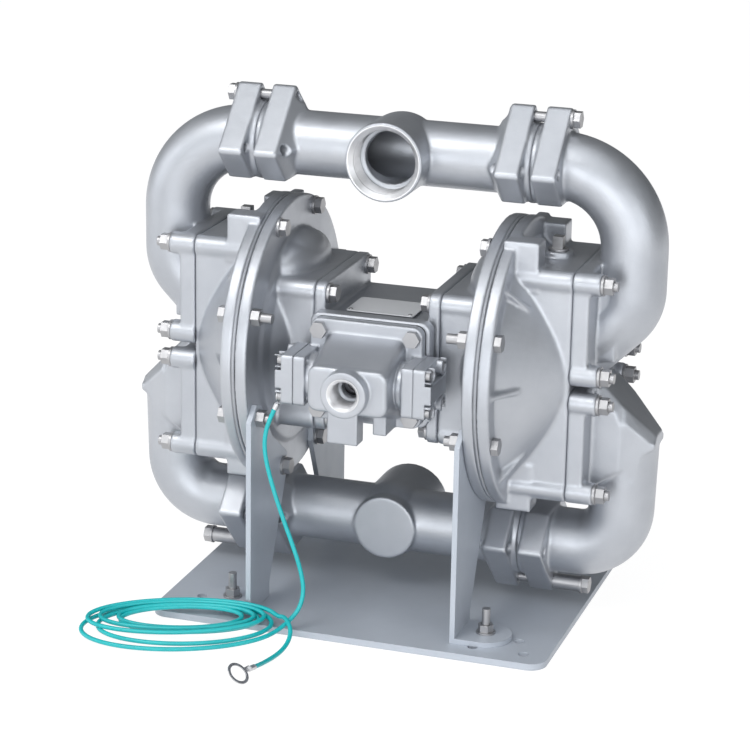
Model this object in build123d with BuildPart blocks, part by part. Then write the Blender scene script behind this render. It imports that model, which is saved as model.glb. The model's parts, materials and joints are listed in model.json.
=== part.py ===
# Air operated double diaphragm pump with flap valves, bolted to a floor plate on four legs.
# Millimetres, +Z up, +X along the manifolds, -Y towards the air valve.
# The origin is at the centre of the floor plate's underside.
from build123d import *
import math
import os

os.makedirs("parts", exist_ok=True)

# Floor plate, and its gap to the lower joint lugs
plate_length = 383.4
plate_width = 309.4
plate_thickness = 6.35
plate_corner = 16.0
floor_gap = 11.15
anchor_hole_radius = 5.0
anchor_far = (168.4, 134.0)
anchor_near = (120.3, 134.0)
anchor_inner = (157.0, 107.0)

# Diaphragm chambers
rim_radius = 135.8
rim_thickness = 11.2
rim_bolt_radius = 126.5
rim_bolt_count = 8
diaphragm_plane = 115.5
diaphragm_thickness = 3.4
diaphragm_inset = 1.2
diaphragm_radius = rim_radius - diaphragm_inset
chamber_wall = 8.0
parting_x = 183.0
cone_root_radius = 117.0
cone_end_radius = 62.0
cone_end_x = 178.0
air_dome_radius = 91.0
air_dome_x = 102.7
air_hub_radius = 42.0
air_hub_x = 64.0
air_floor_x = 84.0
arm_face_x = 61.0
arm_half_width = 60.0
arm_half_height = 72.0
arm_bolt_y = 56.0
arm_bolt_z = 61.0
arm_boss_radius = 11.5

# Elbow flanges on the outer chambers
elbow_bolt_y = 52.5
elbow_boss_radius = 10.5
upper_rows = (7.4, 93.6)
lower_rows = (-105.3, -19.5)
pad_half_width = 60.0
elbow_plate_thickness = 15.5
elbow_boss_length = 25.4

# Pipework
pipe_radius = 31.0
pipe_wall = 5.5
manifold_radius = 30.5
upper_axis = 188.5
lower_axis = -173.5
upper_leg_x = 224.5
lower_leg_x = 222.5
upper_bend = 72.0
lower_bend = 40.0
scoop_bend = 36.0
scoop_line = 162.2
scoop_width = 54.0
scoop_height = 78.0
joint_flange_inner = 138.0
joint_flange_thickness = 23.3
joint_bolt_distance = 43.0
joint_lug_height = 53.0
joint_side_reach = 56.0
joint_flat = 33.0
register_radius = 37.0
register_height = 5.5
manifold_flange_x = 127.0
manifold_flange_thickness = 22.0
manifold_taper = 13.0
port_boss_radius = 36.8
port_face = 56.0
port_thread_radius = 30.0
port_thread_depth = 24.0
blank_boss_radius = 30.8
blank_boss_face = 33.0

# Ports and flap valves
port_half_width = 29.5
port_half_height = 35.0
upper_port_z = 51.0
lower_port_z = -62.5
seat_half_width = 33.0
seat_half_height = 38.0
seat_thickness = 5.8
seat_open_half_width = 21.0
seat_open_half_height = 25.0
seat_clearance = 0.2
flap_half_width = 27.0
flap_thickness = 6.0
flap_drop = 60.0
flap_gap = 0.3
hinge_above_centre = 28.5
hinge_barrel_radius = 4.5
hinge_pin_radius = 2.5
running_clearance = 0.05
ear_width = 5.0
ear_gap = 0.5
ear_radius = 4.8

# Fasteners: three-eighths inch bolts and studs
bolt_radius = 4.76
bolt_hole_clearance = 0.24
bolt_head_flats = 14.3
bolt_head_height = 6.4
nut_height = 8.2
washer_radius = 9.6
washer_thickness = 2.4
stud_tip = 4.0
long_stud_tip = 11.0
thread_depth = 18.0
sleeve_length = 26.0
sleeve_radius = 7.4

# Centre section and diaphragm rod
centre_half_length = 50.0
centre_front = -86.0
centre_back = 62.0
centre_half_height = 42.0
rail_top = 49.5
rail_depth = 7.0
valve_pad_half_width = 58.0
valve_pad_half_height = 50.0
valve_pad_thickness = 14.0
rod_radius = 12.5
rod_half_length = 139.0
rod_bushing_radius = 18.0
rod_bushing_length = 24.0
plate_rod_clearance = 0.05
inner_plate_radius = 60.0
outer_plate_radius = 68.0
inner_plate_thickness = 6.5
outer_plate_thickness = 8.0
plate_hub_radius = 20.0
inner_hub_length = 6.5
outer_hub_length = 6.5
rod_nut_flats = 36.0
rod_nut_height = 9.0
exhaust_radius = 15.3
exhaust_depth = 26.0

# Pilot valve in the centre section
pilot_y = -45.0
pilot_z = -15.0
pilot_spool_radius = 8.0
pilot_spool_half_length = 30.0
plunger_radius = 4.0
plunger_end_x = 88.7
plunger_joint_gap = 0.2
plunger_bushing_radius = 7.0
pilot_running = 0.05

# Air valve
valve_y = -111.0
valve_z = -2.5
valve_plate_half_width = 54.0
valve_plate_half_height = 48.0
valve_plate_thickness = 9.8
gasket_thickness = 1.2
valve_box_half_width = 37.8
valve_box_half_height = 21.5
valve_box_front = -150.0
valve_box_corner = 9.0
inlet_boss_radius = 21.6
inlet_boss_front = -161.0
inlet_thread_radius = 13.0
inlet_thread_depth = 24.0
inlet_passage_radius = 9.0
valve_neck_radius = 20.5
valve_end_half = 23.5
valve_end_inner = 46.0
valve_end_outer = 57.5
cap_thickness = 11.1
cap_screw_offset = 17.5
cap_screw_radius = 3.0
cap_head_radius = 5.0
cap_head_height = 4.0
cap_rib_height = 5.8
cap_rib_half = 8.5
spool_radius = 14.0
sleeve_outer_radius = 18.0
spool_half_length = 44.0
bumper_thickness = 3.0
valve_bolt_x = 44.7
valve_bolt_z = 38.0

# Legs
leg_thickness = 5.0
leg_front = 134.0
leg_foot_depth = 50.0
leg_foot_reach = 150.0
foot_stud_x = 125.3
foot_stud_y = 109.0
foot_stud_radius = 3.9
foot_stud_height = 29.0
foot_nut_flats = 12.7
foot_nut_height = 7.0
foot_washer_radius = 9.0
foot_washer_thickness = 1.6

# Pipe plugs on top of the outer chambers
plug_x = 153.2
plug_boss_radius = 13.8
plug_boss_top = 109.0
plug_radius = 8.6
plug_thread_length = 12.0
plug_collar_radius = 9.4
plug_collar_height = 2.0
plug_square = 9.8
plug_square_height = 11.0

# Ground cable
cable_radius = 2.1

pump_height = plate_thickness + floor_gap + joint_lug_height - lower_axis
pump_axis = Axis((0, 0, pump_height), (1, 0, 0))


def side_plane(x):
    """Upright plane across the pump: local x is Y, local y is the height above the pump axis."""
    return Plane(origin=(x, 0, pump_height), x_dir=(0, 1, 0), z_dir=(1, 0, 0))


def front_plane(y):
    """Upright plane along the pump: local x is X, local y is the height above the pump axis."""
    return Plane(origin=(0, y, pump_height), x_dir=(1, 0, 0), z_dir=(0, -1, 0))


def level_plane(z):
    """Level plane at a height above the pump axis."""
    return Plane(origin=(0, 0, pump_height + z))


def around(radius, angles):
    """Points (y, z) on a circle about the pump axis."""
    return [
        (radius * math.cos(math.radians(a)), radius * math.sin(math.radians(a))) for a in angles
    ]


# Values worked out from the sizes above
outer_rim_start = diaphragm_plane + diaphragm_thickness / 2
outer_rim_end = outer_rim_start + rim_thickness
inner_rim_end = diaphragm_plane - diaphragm_thickness / 2
inner_rim_start = inner_rim_end - rim_thickness
elbow_plate_x = parting_x + elbow_plate_thickness
elbow_boss_x = parting_x + elbow_boss_length
bolt_hole_radius = bolt_radius + bolt_hole_clearance
bolt_head_radius = bolt_head_flats / 2 / math.cos(math.pi / 6)
joint_flange_outer = joint_flange_inner + joint_flange_thickness
pipe_bore = pipe_radius - pipe_wall
manifold_bore = manifold_radius - pipe_wall
joint_face_x = joint_flange_inner - register_height
manifold_lug_start = manifold_flange_x - manifold_flange_thickness
rim_step = 360 / rim_bolt_count
rim_angles = [rim_step * (i + 0.5) for i in range(rim_bolt_count)]
lug_angles = [a for a in rim_angles if abs(math.sin(math.radians(a))) > 0.7]
through_angles = [a for a in rim_angles if abs(math.sin(math.radians(a))) <= 0.7]
front_through = [a for a in rim_angles]
elbow_bolts_upper = [(y, z) for y in (-elbow_bolt_y, elbow_bolt_y) for z in upper_rows]
elbow_bolts_lower = [(y, z) for y in (-elbow_bolt_y, elbow_bolt_y) for z in lower_rows]
arm_bolts = [(y, z) for y in (-arm_bolt_y, arm_bolt_y) for z in (-arm_bolt_z, arm_bolt_z)]
plate_top = plate_thickness - pump_height

# Outer chambers: rim, cone, elbow pads with four bosses each, bolt lugs, ribs and plug boss
lug_length = 22.0
lug_half_width = 12.5
lug_reach = 11.5
rib_thickness = 5.0
rib_angles = (0, 45, 135, 180, 225, 315)
fluid_cavity_radius = rim_radius - 24.0
fluid_floor_x = 157.0
fluid_floor_radius = 60.0
fluid_shoulder_x = 148.0
fluid_shoulder_radius = 80.0
port_passage_start = 138.0

with BuildPart() as outer_chamber_right:
    with BuildSketch(front_plane(0)):
        with BuildLine():
            Polyline(
                (outer_rim_start, 0),
                (outer_rim_start, rim_radius),
                (outer_rim_end, rim_radius),
                (outer_rim_end, cone_root_radius),
                (cone_end_x, cone_end_radius),
                (parting_x, cone_end_radius - 6),
                (parting_x, 0),
                close=True,
            )
        make_face()
    revolve(axis=pump_axis)
    with BuildSketch(side_plane(outer_rim_start)):
        with Locations((0, (upper_rows[1] + lower_rows[0]) / 2)):
            Rectangle(2 * pad_half_width, upper_rows[1] - lower_rows[0])
        with Locations((-elbow_bolt_y, upper_rows[1]), (elbow_bolt_y, upper_rows[1])):
            Circle(elbow_boss_radius)
        with Locations((-elbow_bolt_y, lower_rows[0]), (elbow_bolt_y, lower_rows[0])):
            Circle(elbow_boss_radius)
    extrude(amount=parting_x - outer_rim_start)
    with BuildSketch(side_plane(outer_rim_start)):
        for y, z in around(rim_bolt_radius, lug_angles):
            with Locations((y, z - math.copysign(lug_reach, z))):
                Rectangle(2 * lug_half_width, 4 * lug_reach - 0.2)
    extrude(amount=rim_thickness + lug_length)
    with BuildSketch(level_plane(upper_rows[1] - 8)):
        with Locations((plug_x, 0)):
            Circle(plug_boss_radius)
    extrude(amount=plug_boss_top - upper_rows[1] + 8)
    for angle in rib_angles:
        rib_plane = Plane(
            origin=(0, 0, pump_height),
            x_dir=(1, 0, 0),
            z_dir=(0, -math.sin(math.radians(angle)), math.cos(math.radians(angle))),
        )
        with BuildSketch(rib_plane):
            with BuildLine():
                Polyline(
                    (outer_rim_end - 1, -(rim_radius - 4)),
                    (outer_rim_end, -(rim_radius - 4)),
                    (outer_rim_end + 19, -(cone_root_radius - 20)),
                    (outer_rim_end - 1, -(cone_root_radius - 20)),
                    close=True,
                )
            make_face()
        extrude(amount=rib_thickness / 2, both=True)
    with BuildSketch(front_plane(0)):
        with BuildLine():
            Polyline(
                (outer_rim_start, 0),
                (outer_rim_start, fluid_cavity_radius),
                (outer_rim_start + 4, fluid_cavity_radius - 2),
                (fluid_shoulder_x, fluid_shoulder_radius),
                (fluid_floor_x, fluid_floor_radius),
                (fluid_floor_x, 0),
                close=True,
            )
        make_face()
    revolve(axis=pump_axis, mode=Mode.SUBTRACT)
    with BuildSketch(side_plane(port_passage_start)):
        with Locations((0, upper_port_z), (0, lower_port_z)):
            Rectangle(2 * port_half_width, 2 * port_half_height)
    extrude(amount=parting_x - port_passage_start, mode=Mode.SUBTRACT)
    with BuildSketch(side_plane(parting_x)):
        with Locations((0, lower_port_z)):
            Rectangle(
                2 * (seat_half_width + seat_clearance), 2 * (seat_half_height + seat_clearance)
            )
    extrude(amount=-(seat_thickness + seat_clearance), mode=Mode.SUBTRACT)
    with BuildSketch(side_plane(parting_x)):
        with Locations(elbow_bolts_upper + elbow_bolts_lower):
            Circle(bolt_hole_radius)
    extrude(amount=-(thread_depth + 4), mode=Mode.SUBTRACT)
    with BuildSketch(side_plane(outer_rim_start)):
        with Locations(around(rim_bolt_radius, rim_angles)):
            Circle(bolt_hole_radius)
    extrude(amount=rim_thickness, mode=Mode.SUBTRACT)
    with BuildSketch(side_plane(outer_rim_start)):
        with Locations(around(rim_bolt_radius, lug_angles)):
            Circle(bolt_hole_radius)
    extrude(amount=rim_thickness + lug_length - 5, mode=Mode.SUBTRACT)
    with BuildSketch(level_plane(plug_boss_top)):
        with Locations((plug_x, 0)):
            Circle(plug_radius + seat_clearance)
    extrude(amount=-(plug_thread_length + 20), mode=Mode.SUBTRACT)

with BuildPart() as outer_chamber_left:
    mirror(outer_chamber_right.part, about=Plane.YZ)

# Inner chambers: rim, shallow dome and the boxed arm with its bolt bosses
dome_slope = (air_dome_radius - air_hub_radius) / (air_dome_x - air_hub_x)
air_cavity_radius = rim_radius - 27.8
air_wall = 7.4
rod_passage_radius = 18.0

with BuildPart() as inner_chamber_right:
    with BuildSketch(front_plane(0)):
        with BuildLine():
            Polyline(
                (inner_rim_end, 0),
                (inner_rim_end, rim_radius),
                (inner_rim_start, rim_radius),
                (inner_rim_start, air_dome_radius + 14),
                (air_dome_x - 3.5, air_dome_radius + 8),
                (air_dome_x - 4.5, air_dome_radius - 4.5 * dome_slope),
                (air_hub_x, air_hub_radius),
                (air_hub_x, 0),
                close=True,
            )
        make_face()
    revolve(axis=pump_axis)
    with BuildSketch(side_plane(arm_face_x)):
        Rectangle(2 * arm_half_width, 2 * arm_half_height)
        with Locations(arm_bolts):
            Circle(arm_boss_radius)
    extrude(amount=inner_rim_start - arm_face_x + 1)
    with BuildSketch(front_plane(0)):
        with BuildLine():
            Polyline(
                (inner_rim_end, 0),
                (inner_rim_end, air_cavity_radius),
                (inner_rim_end - 5.8, air_cavity_radius - 5),
                (air_dome_x - 14.7 + air_wall / 4, air_dome_radius - 29),
                (air_floor_x, air_hub_radius - 2),
                (air_floor_x, 0),
                close=True,
            )
        make_face()
    revolve(axis=pump_axis, mode=Mode.SUBTRACT)
    with BuildSketch(side_plane(arm_face_x)):
        Circle(rod_passage_radius)
        with Locations((pilot_y, pilot_z)):
            Circle(plunger_bushing_radius + pilot_running)
    extrude(amount=inner_rim_end - arm_face_x, mode=Mode.SUBTRACT)
    with BuildSketch(side_plane(arm_face_x)):
        with Locations(arm_bolts):
            Circle(bolt_hole_radius)
    extrude(amount=thread_depth + 4, mode=Mode.SUBTRACT)
    with BuildSketch(side_plane(inner_rim_end)):
        with Locations(around(rim_bolt_radius, rim_angles)):
            Circle(bolt_hole_radius)
    extrude(amount=-rim_thickness, mode=Mode.SUBTRACT)

with BuildPart() as inner_chamber_left:
    mirror(inner_chamber_right.part, about=Plane.YZ)

# Diaphragms: clamped edge, flat web and a moulded roll between plates and rim
roll_inner = 70.0
roll_outer = 104.0
roll_rise = 7.0

with BuildPart() as diaphragm_right:
    with BuildSketch(front_plane(0)):
        with BuildLine():
            Polyline(
                (inner_rim_end, rod_radius + plate_rod_clearance),
                (inner_rim_end, roll_inner),
                (inner_rim_end + roll_rise, (roll_inner + roll_outer) / 2),
                (inner_rim_end, roll_outer),
                (inner_rim_end, diaphragm_radius),
                (outer_rim_start, diaphragm_radius),
                (outer_rim_start, roll_outer),
                (outer_rim_start + roll_rise, (roll_inner + roll_outer) / 2),
                (outer_rim_start, roll_inner),
                (outer_rim_start, rod_radius + plate_rod_clearance),
                close=True,
            )
        make_face()
    revolve(axis=pump_axis)
    with BuildSketch(side_plane(inner_rim_end)):
        with Locations(around(rim_bolt_radius, rim_angles)):
            Circle(bolt_hole_radius)
    extrude(amount=diaphragm_thickness, mode=Mode.SUBTRACT)

with BuildPart() as diaphragm_left:
    mirror(diaphragm_right.part, about=Plane.YZ)

# Diaphragm rod with its clamping plates and end nuts
with BuildPart() as diaphragm_rod:
    with BuildSketch(side_plane(-rod_half_length)):
        Circle(rod_radius)
    extrude(amount=2 * rod_half_length)

with BuildPart() as inner_plates:
    with BuildSketch(front_plane(0)):
        with BuildLine():
            Polyline(
                (inner_rim_end, rod_radius + plate_rod_clearance),
                (inner_rim_end, inner_plate_radius),
                (inner_rim_end - inner_plate_thickness / 2, inner_plate_radius),
                (inner_rim_end - inner_plate_thickness, inner_plate_radius - 4),
                (inner_rim_end - inner_plate_thickness, plate_hub_radius),
                (inner_rim_end - inner_plate_thickness - inner_hub_length, plate_hub_radius),
                (
                    inner_rim_end - inner_plate_thickness - inner_hub_length,
                    rod_radius + plate_rod_clearance,
                ),
                close=True,
            )
        make_face()
    revolve(axis=pump_axis)
    mirror(about=Plane.YZ)

outer_hub_end = outer_rim_start + outer_plate_thickness + outer_hub_length

with BuildPart() as outer_plates:
    with BuildSketch(front_plane(0)):
        with BuildLine():
            Polyline(
                (outer_rim_start, rod_radius + plate_rod_clearance),
                (outer_rim_start, outer_plate_radius),
                (outer_rim_start + outer_plate_thickness / 2, outer_plate_radius),
                (outer_rim_start + outer_plate_thickness, outer_plate_radius - 8),
                (outer_rim_start + outer_plate_thickness, plate_hub_radius + 3),
                (outer_hub_end, plate_hub_radius),
                (outer_hub_end, rod_radius + plate_rod_clearance),
                close=True,
            )
        make_face()
    revolve(axis=pump_axis)
    mirror(about=Plane.YZ)

with BuildPart() as rod_nuts:
    with BuildSketch(side_plane(outer_hub_end)):
        RegularPolygon(rod_nut_flats / 2, 6, major_radius=False)
        Circle(rod_radius + plate_rod_clearance, mode=Mode.SUBTRACT)
    extrude(amount=rod_nut_height)
    mirror(about=Plane.YZ)

# Centre section: body block, end flanges, valve pad, top rail, rod bore and pilot bore
with BuildPart() as centre_bracket:
    with BuildSketch(level_plane(-centre_half_height)):
        with Locations((0, (centre_front + centre_back) / 2)):
            Rectangle(2 * centre_half_length, centre_back - centre_front)
    extrude(amount=2 * centre_half_height)
    with BuildSketch(side_plane(-arm_face_x)):
        RectangleRounded(
            2 * (arm_bolt_y + arm_boss_radius),
            2 * (arm_bolt_z + arm_boss_radius),
            arm_boss_radius,
        )
    extrude(amount=arm_face_x - centre_half_length)
    with BuildSketch(side_plane(centre_half_length)):
        RectangleRounded(
            2 * (arm_bolt_y + arm_boss_radius),
            2 * (arm_bolt_z + arm_boss_radius),
            arm_boss_radius,
        )
    extrude(amount=arm_face_x - centre_half_length)
    with BuildSketch(front_plane(centre_front)):
        RectangleRounded(2 * valve_pad_half_width, 2 * valve_pad_half_height, 9)
    extrude(amount=-valve_pad_thickness)
    with BuildSketch(side_plane(-centre_half_length)):
        with BuildLine():
            Polyline(
                (centre_front + valve_pad_thickness, centre_half_height),
                (centre_front + valve_pad_thickness, rail_top - 2),
                (centre_front + valve_pad_thickness + rail_depth, rail_top - 3),
                (centre_front + valve_pad_thickness + rail_depth + 3, centre_half_height),
                close=True,
            )
        make_face()
    extrude(amount=2 * centre_half_length)
    with BuildSketch(side_plane(-arm_face_x)):
        Circle(rod_bushing_radius + plate_rod_clearance)
        with Locations((pilot_y, pilot_z)):
            Circle(pilot_spool_radius + pilot_running)
    extrude(amount=2 * arm_face_x, mode=Mode.SUBTRACT)
    with BuildSketch(side_plane(-arm_face_x)):
        with Locations(arm_bolts):
            Circle(bolt_hole_radius)
    extrude(amount=2 * arm_face_x, mode=Mode.SUBTRACT)
    with BuildSketch(front_plane(centre_front)):
        for z in (-valve_bolt_z, valve_bolt_z):
            with Locations((-valve_bolt_x, z), (valve_bolt_x, z)):
                Circle(bolt_hole_radius)
    extrude(amount=-thread_depth, mode=Mode.SUBTRACT)
    with BuildSketch(front_plane(centre_back)):
        Circle(exhaust_radius)
    extrude(amount=exhaust_depth, mode=Mode.SUBTRACT)

with BuildPart() as bracket_capscrews:
    with BuildSketch(side_plane(centre_half_length)):
        with Locations(arm_bolts):
            RegularPolygon(bolt_head_flats / 2, 6, major_radius=False)
    extrude(amount=-(bolt_head_height + washer_thickness))
    with BuildSketch(side_plane(centre_half_length)):
        with Locations(arm_bolts):
            Circle(washer_radius)
    extrude(amount=-washer_thickness)
    with BuildSketch(side_plane(centre_half_length)):
        with Locations(arm_bolts):
            Circle(bolt_radius)
    extrude(amount=arm_face_x - centre_half_length + thread_depth)
    mirror(about=Plane.YZ)

# Pilot valve: spool and two plungers, and the bushings of rod and plungers
with BuildPart() as pilot_spool:
    with BuildSketch(side_plane(-pilot_spool_half_length)):
        with Locations((pilot_y, pilot_z)):
            Circle(pilot_spool_radius)
    extrude(amount=2 * pilot_spool_half_length)
    for x in (-12, 12):
        with BuildSketch(side_plane(x - 4)):
            with Locations((pilot_y, pilot_z)):
                Circle(pilot_spool_radius + 1)
                Circle(pilot_spool_radius - 2.5, mode=Mode.SUBTRACT)
        extrude(amount=8, mode=Mode.SUBTRACT)

with BuildPart() as plungers:
    with BuildSketch(side_plane(pilot_spool_half_length + plunger_joint_gap)):
        with Locations((pilot_y, pilot_z)):
            Circle(plunger_radius)
    extrude(amount=plunger_end_x - pilot_spool_half_length - plunger_joint_gap)
    mirror(about=Plane.YZ)

with BuildPart() as bushings:
    with BuildSketch(side_plane(arm_face_x)):
        Circle(rod_bushing_radius)
        Circle(rod_radius + running_clearance, mode=Mode.SUBTRACT)
    extrude(amount=-rod_bushing_length)
    with BuildSketch(side_plane(arm_face_x)):
        with Locations((pilot_y, pilot_z)):
            Circle(plunger_bushing_radius)
            Circle(plunger_radius + pilot_running, mode=Mode.SUBTRACT)
    extrude(amount=air_floor_x - arm_face_x)
    mirror(about=Plane.YZ)

# Rim bolts: through bolts with nuts at the sides, screws into the lugs above and below
leg_angles = [a for a in rim_angles if 180 < a < 360]
nut_face = inner_rim_start
leg_nut_face = inner_rim_start - leg_thickness

with BuildPart() as rim_bolts:
    with BuildSketch(side_plane(outer_rim_end)):
        with Locations(around(rim_bolt_radius, through_angles)):
            RegularPolygon(bolt_head_flats / 2, 6, major_radius=False)
    extrude(amount=bolt_head_height)
    with BuildSketch(side_plane(outer_rim_end)):
        with Locations(around(rim_bolt_radius, through_angles)):
            Circle(bolt_radius)
    extrude(amount=-(outer_rim_end - inner_rim_start + nut_height + long_stud_tip))
    mirror(about=Plane.YZ)

with BuildPart() as rim_nuts:
    for angle in through_angles:
        seat = leg_nut_face if angle in leg_angles else nut_face
        with BuildSketch(side_plane(seat)):
            with Locations(around(rim_bolt_radius, [angle])):
                RegularPolygon(bolt_head_flats / 2, 6, major_radius=False)
                Circle(bolt_hole_radius, mode=Mode.SUBTRACT)
        extrude(amount=-nut_height)
    mirror(about=Plane.YZ)

with BuildPart() as lug_screws:
    for angle in lug_angles:
        seat = leg_nut_face if angle in leg_angles else nut_face
        with BuildSketch(side_plane(seat)):
            with Locations(around(rim_bolt_radius, [angle])):
                Circle(washer_radius - 0.4)
        extrude(amount=-washer_thickness)
        with BuildSketch(side_plane(seat - washer_thickness)):
            with Locations(around(rim_bolt_radius, [angle])):
                RegularPolygon(bolt_head_flats / 2, 6, major_radius=False)
        extrude(amount=-bolt_head_height)
        with BuildSketch(side_plane(seat)):
            with Locations(around(rim_bolt_radius, [angle])):
                Circle(bolt_radius)
        extrude(amount=outer_rim_end + lug_length - 8 - seat)
    mirror(about=Plane.YZ)

# Flap valve seats, flaps and hinge pins
hinge_offset = flap_gap + hinge_barrel_radius


def make_seat(face_x, port_z, side):
    """Seat plate with two hinge ears; side is +1 when the flap is on the +X side of the face."""
    hinge_z = port_z + hinge_above_centre
    with BuildPart() as seat:
        with BuildSketch(side_plane(face_x)):
            with Locations((0, port_z)):
                Rectangle(2 * seat_half_width, 2 * seat_half_height)
                Rectangle(
                    2 * seat_open_half_width, 2 * seat_open_half_height, mode=Mode.SUBTRACT
                )
        extrude(amount=-side * seat_thickness)
        ear_y = flap_half_width - ear_width / 2
        with BuildSketch(side_plane(face_x)):
            with Locations((-ear_y, hinge_z), (ear_y, hinge_z)):
                Rectangle(ear_width, 2 * ear_radius)
        extrude(amount=side * hinge_offset)
        for y in (-ear_y - ear_width / 2, ear_y - ear_width / 2):
            with BuildSketch(front_plane(y)):
                with Locations((face_x + side * hinge_offset, hinge_z)):
                    Circle(ear_radius)
            extrude(amount=-ear_width)
        with BuildSketch(front_plane(0)):
            with Locations((face_x + side * hinge_offset, hinge_z)):
                Circle(hinge_pin_radius + running_clearance)
        extrude(amount=flap_half_width + 1, both=True, mode=Mode.SUBTRACT)
    return seat.part


def make_flap(face_x, port_z, side):
    """Flap with a hinge barrel at its top edge, hanging against the seat face."""
    hinge_z = port_z + hinge_above_centre
    hinge_x = face_x + side * hinge_offset
    barrel_half = flap_half_width - ear_width - ear_gap
    with BuildPart() as flap:
        with BuildSketch(side_plane(face_x + side * flap_gap)):
            with Locations((0, hinge_z - hinge_barrel_radius - ear_gap - 0.5)):
                Rectangle(2 * flap_half_width, flap_drop - 8, align=(Align.CENTER, Align.MAX))
            with Locations((0, hinge_z)):
                Rectangle(2 * barrel_half, 10, align=(Align.CENTER, Align.MAX))
        extrude(amount=side * flap_thickness)
        with BuildSketch(front_plane(0)):
            with Locations((hinge_x, hinge_z)):
                Circle(hinge_barrel_radius)
        extrude(amount=barrel_half, both=True)
        with BuildSketch(front_plane(0)):
            with Locations((hinge_x, hinge_z)):
                Circle(hinge_pin_radius + running_clearance)
        extrude(amount=barrel_half + 1, both=True, mode=Mode.SUBTRACT)
    return flap.part


with BuildPart() as valve_seats:
    add(make_seat(parting_x, upper_port_z, -1))
    add(make_seat(parting_x, lower_port_z, 1))
    mirror(about=Plane.YZ)

with BuildPart() as flap_upper_right:
    add(make_flap(parting_x, upper_port_z, -1))

with BuildPart() as flap_upper_left:
    mirror(flap_upper_right.part, about=Plane.YZ)

with BuildPart() as flap_lower_right:
    add(make_flap(parting_x, lower_port_z, 1))

with BuildPart() as flap_lower_left:
    mirror(flap_lower_right.part, about=Plane.YZ)

with BuildPart() as flap_pins:
    for port_z, side in ((upper_port_z, -1), (lower_port_z, 1)):
        with BuildSketch(front_plane(0)):
            with Locations((parting_x + side * hinge_offset, port_z + hinge_above_centre)):
                Circle(hinge_pin_radius)
        extrude(amount=flap_half_width, both=True)
    mirror(about=Plane.YZ)

# Joint flange outline shared by elbows and manifolds: one lug away from the pump, two at the sides
joint_outline = [
    (-2.5, joint_lug_height),
    (-joint_side_reach, joint_lug_height - joint_side_reach + 2.5),
    (-joint_side_reach, -4.0),
    (-joint_side_reach + joint_flat - 4.0, -joint_flat),
    (joint_side_reach - joint_flat + 4.0, -joint_flat),
    (joint_side_reach, -4.0),
    (joint_side_reach, joint_lug_height - joint_side_reach + 2.5),
    (2.5, joint_lug_height),
]


def joint_points(axis_z, up):
    """Joint flange outline about a pipe axis; up is +1 for the upper joints, -1 for the lower."""
    return [(y, axis_z + up * z) for y, z in joint_outline]


def joint_holes(axis_z, up):
    """The lug hole away from the pump and the two side holes."""
    return [
        (0, axis_z + up * joint_bolt_distance),
        (joint_bolt_distance, axis_z),
        (-joint_bolt_distance, axis_z),
    ]


def bolted_holes(axis_z, up):
    """The two joint holes that carry bolts: the outer lug and the rear lug."""
    return joint_holes(axis_z, up)[:2]


# Upper elbows: suction side, a smooth C from the manifold down to a scooped flange
scoop_z = upper_leg_x - scoop_line
upper_plate_bottom = upper_rows[0] - elbow_boss_radius

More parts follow.
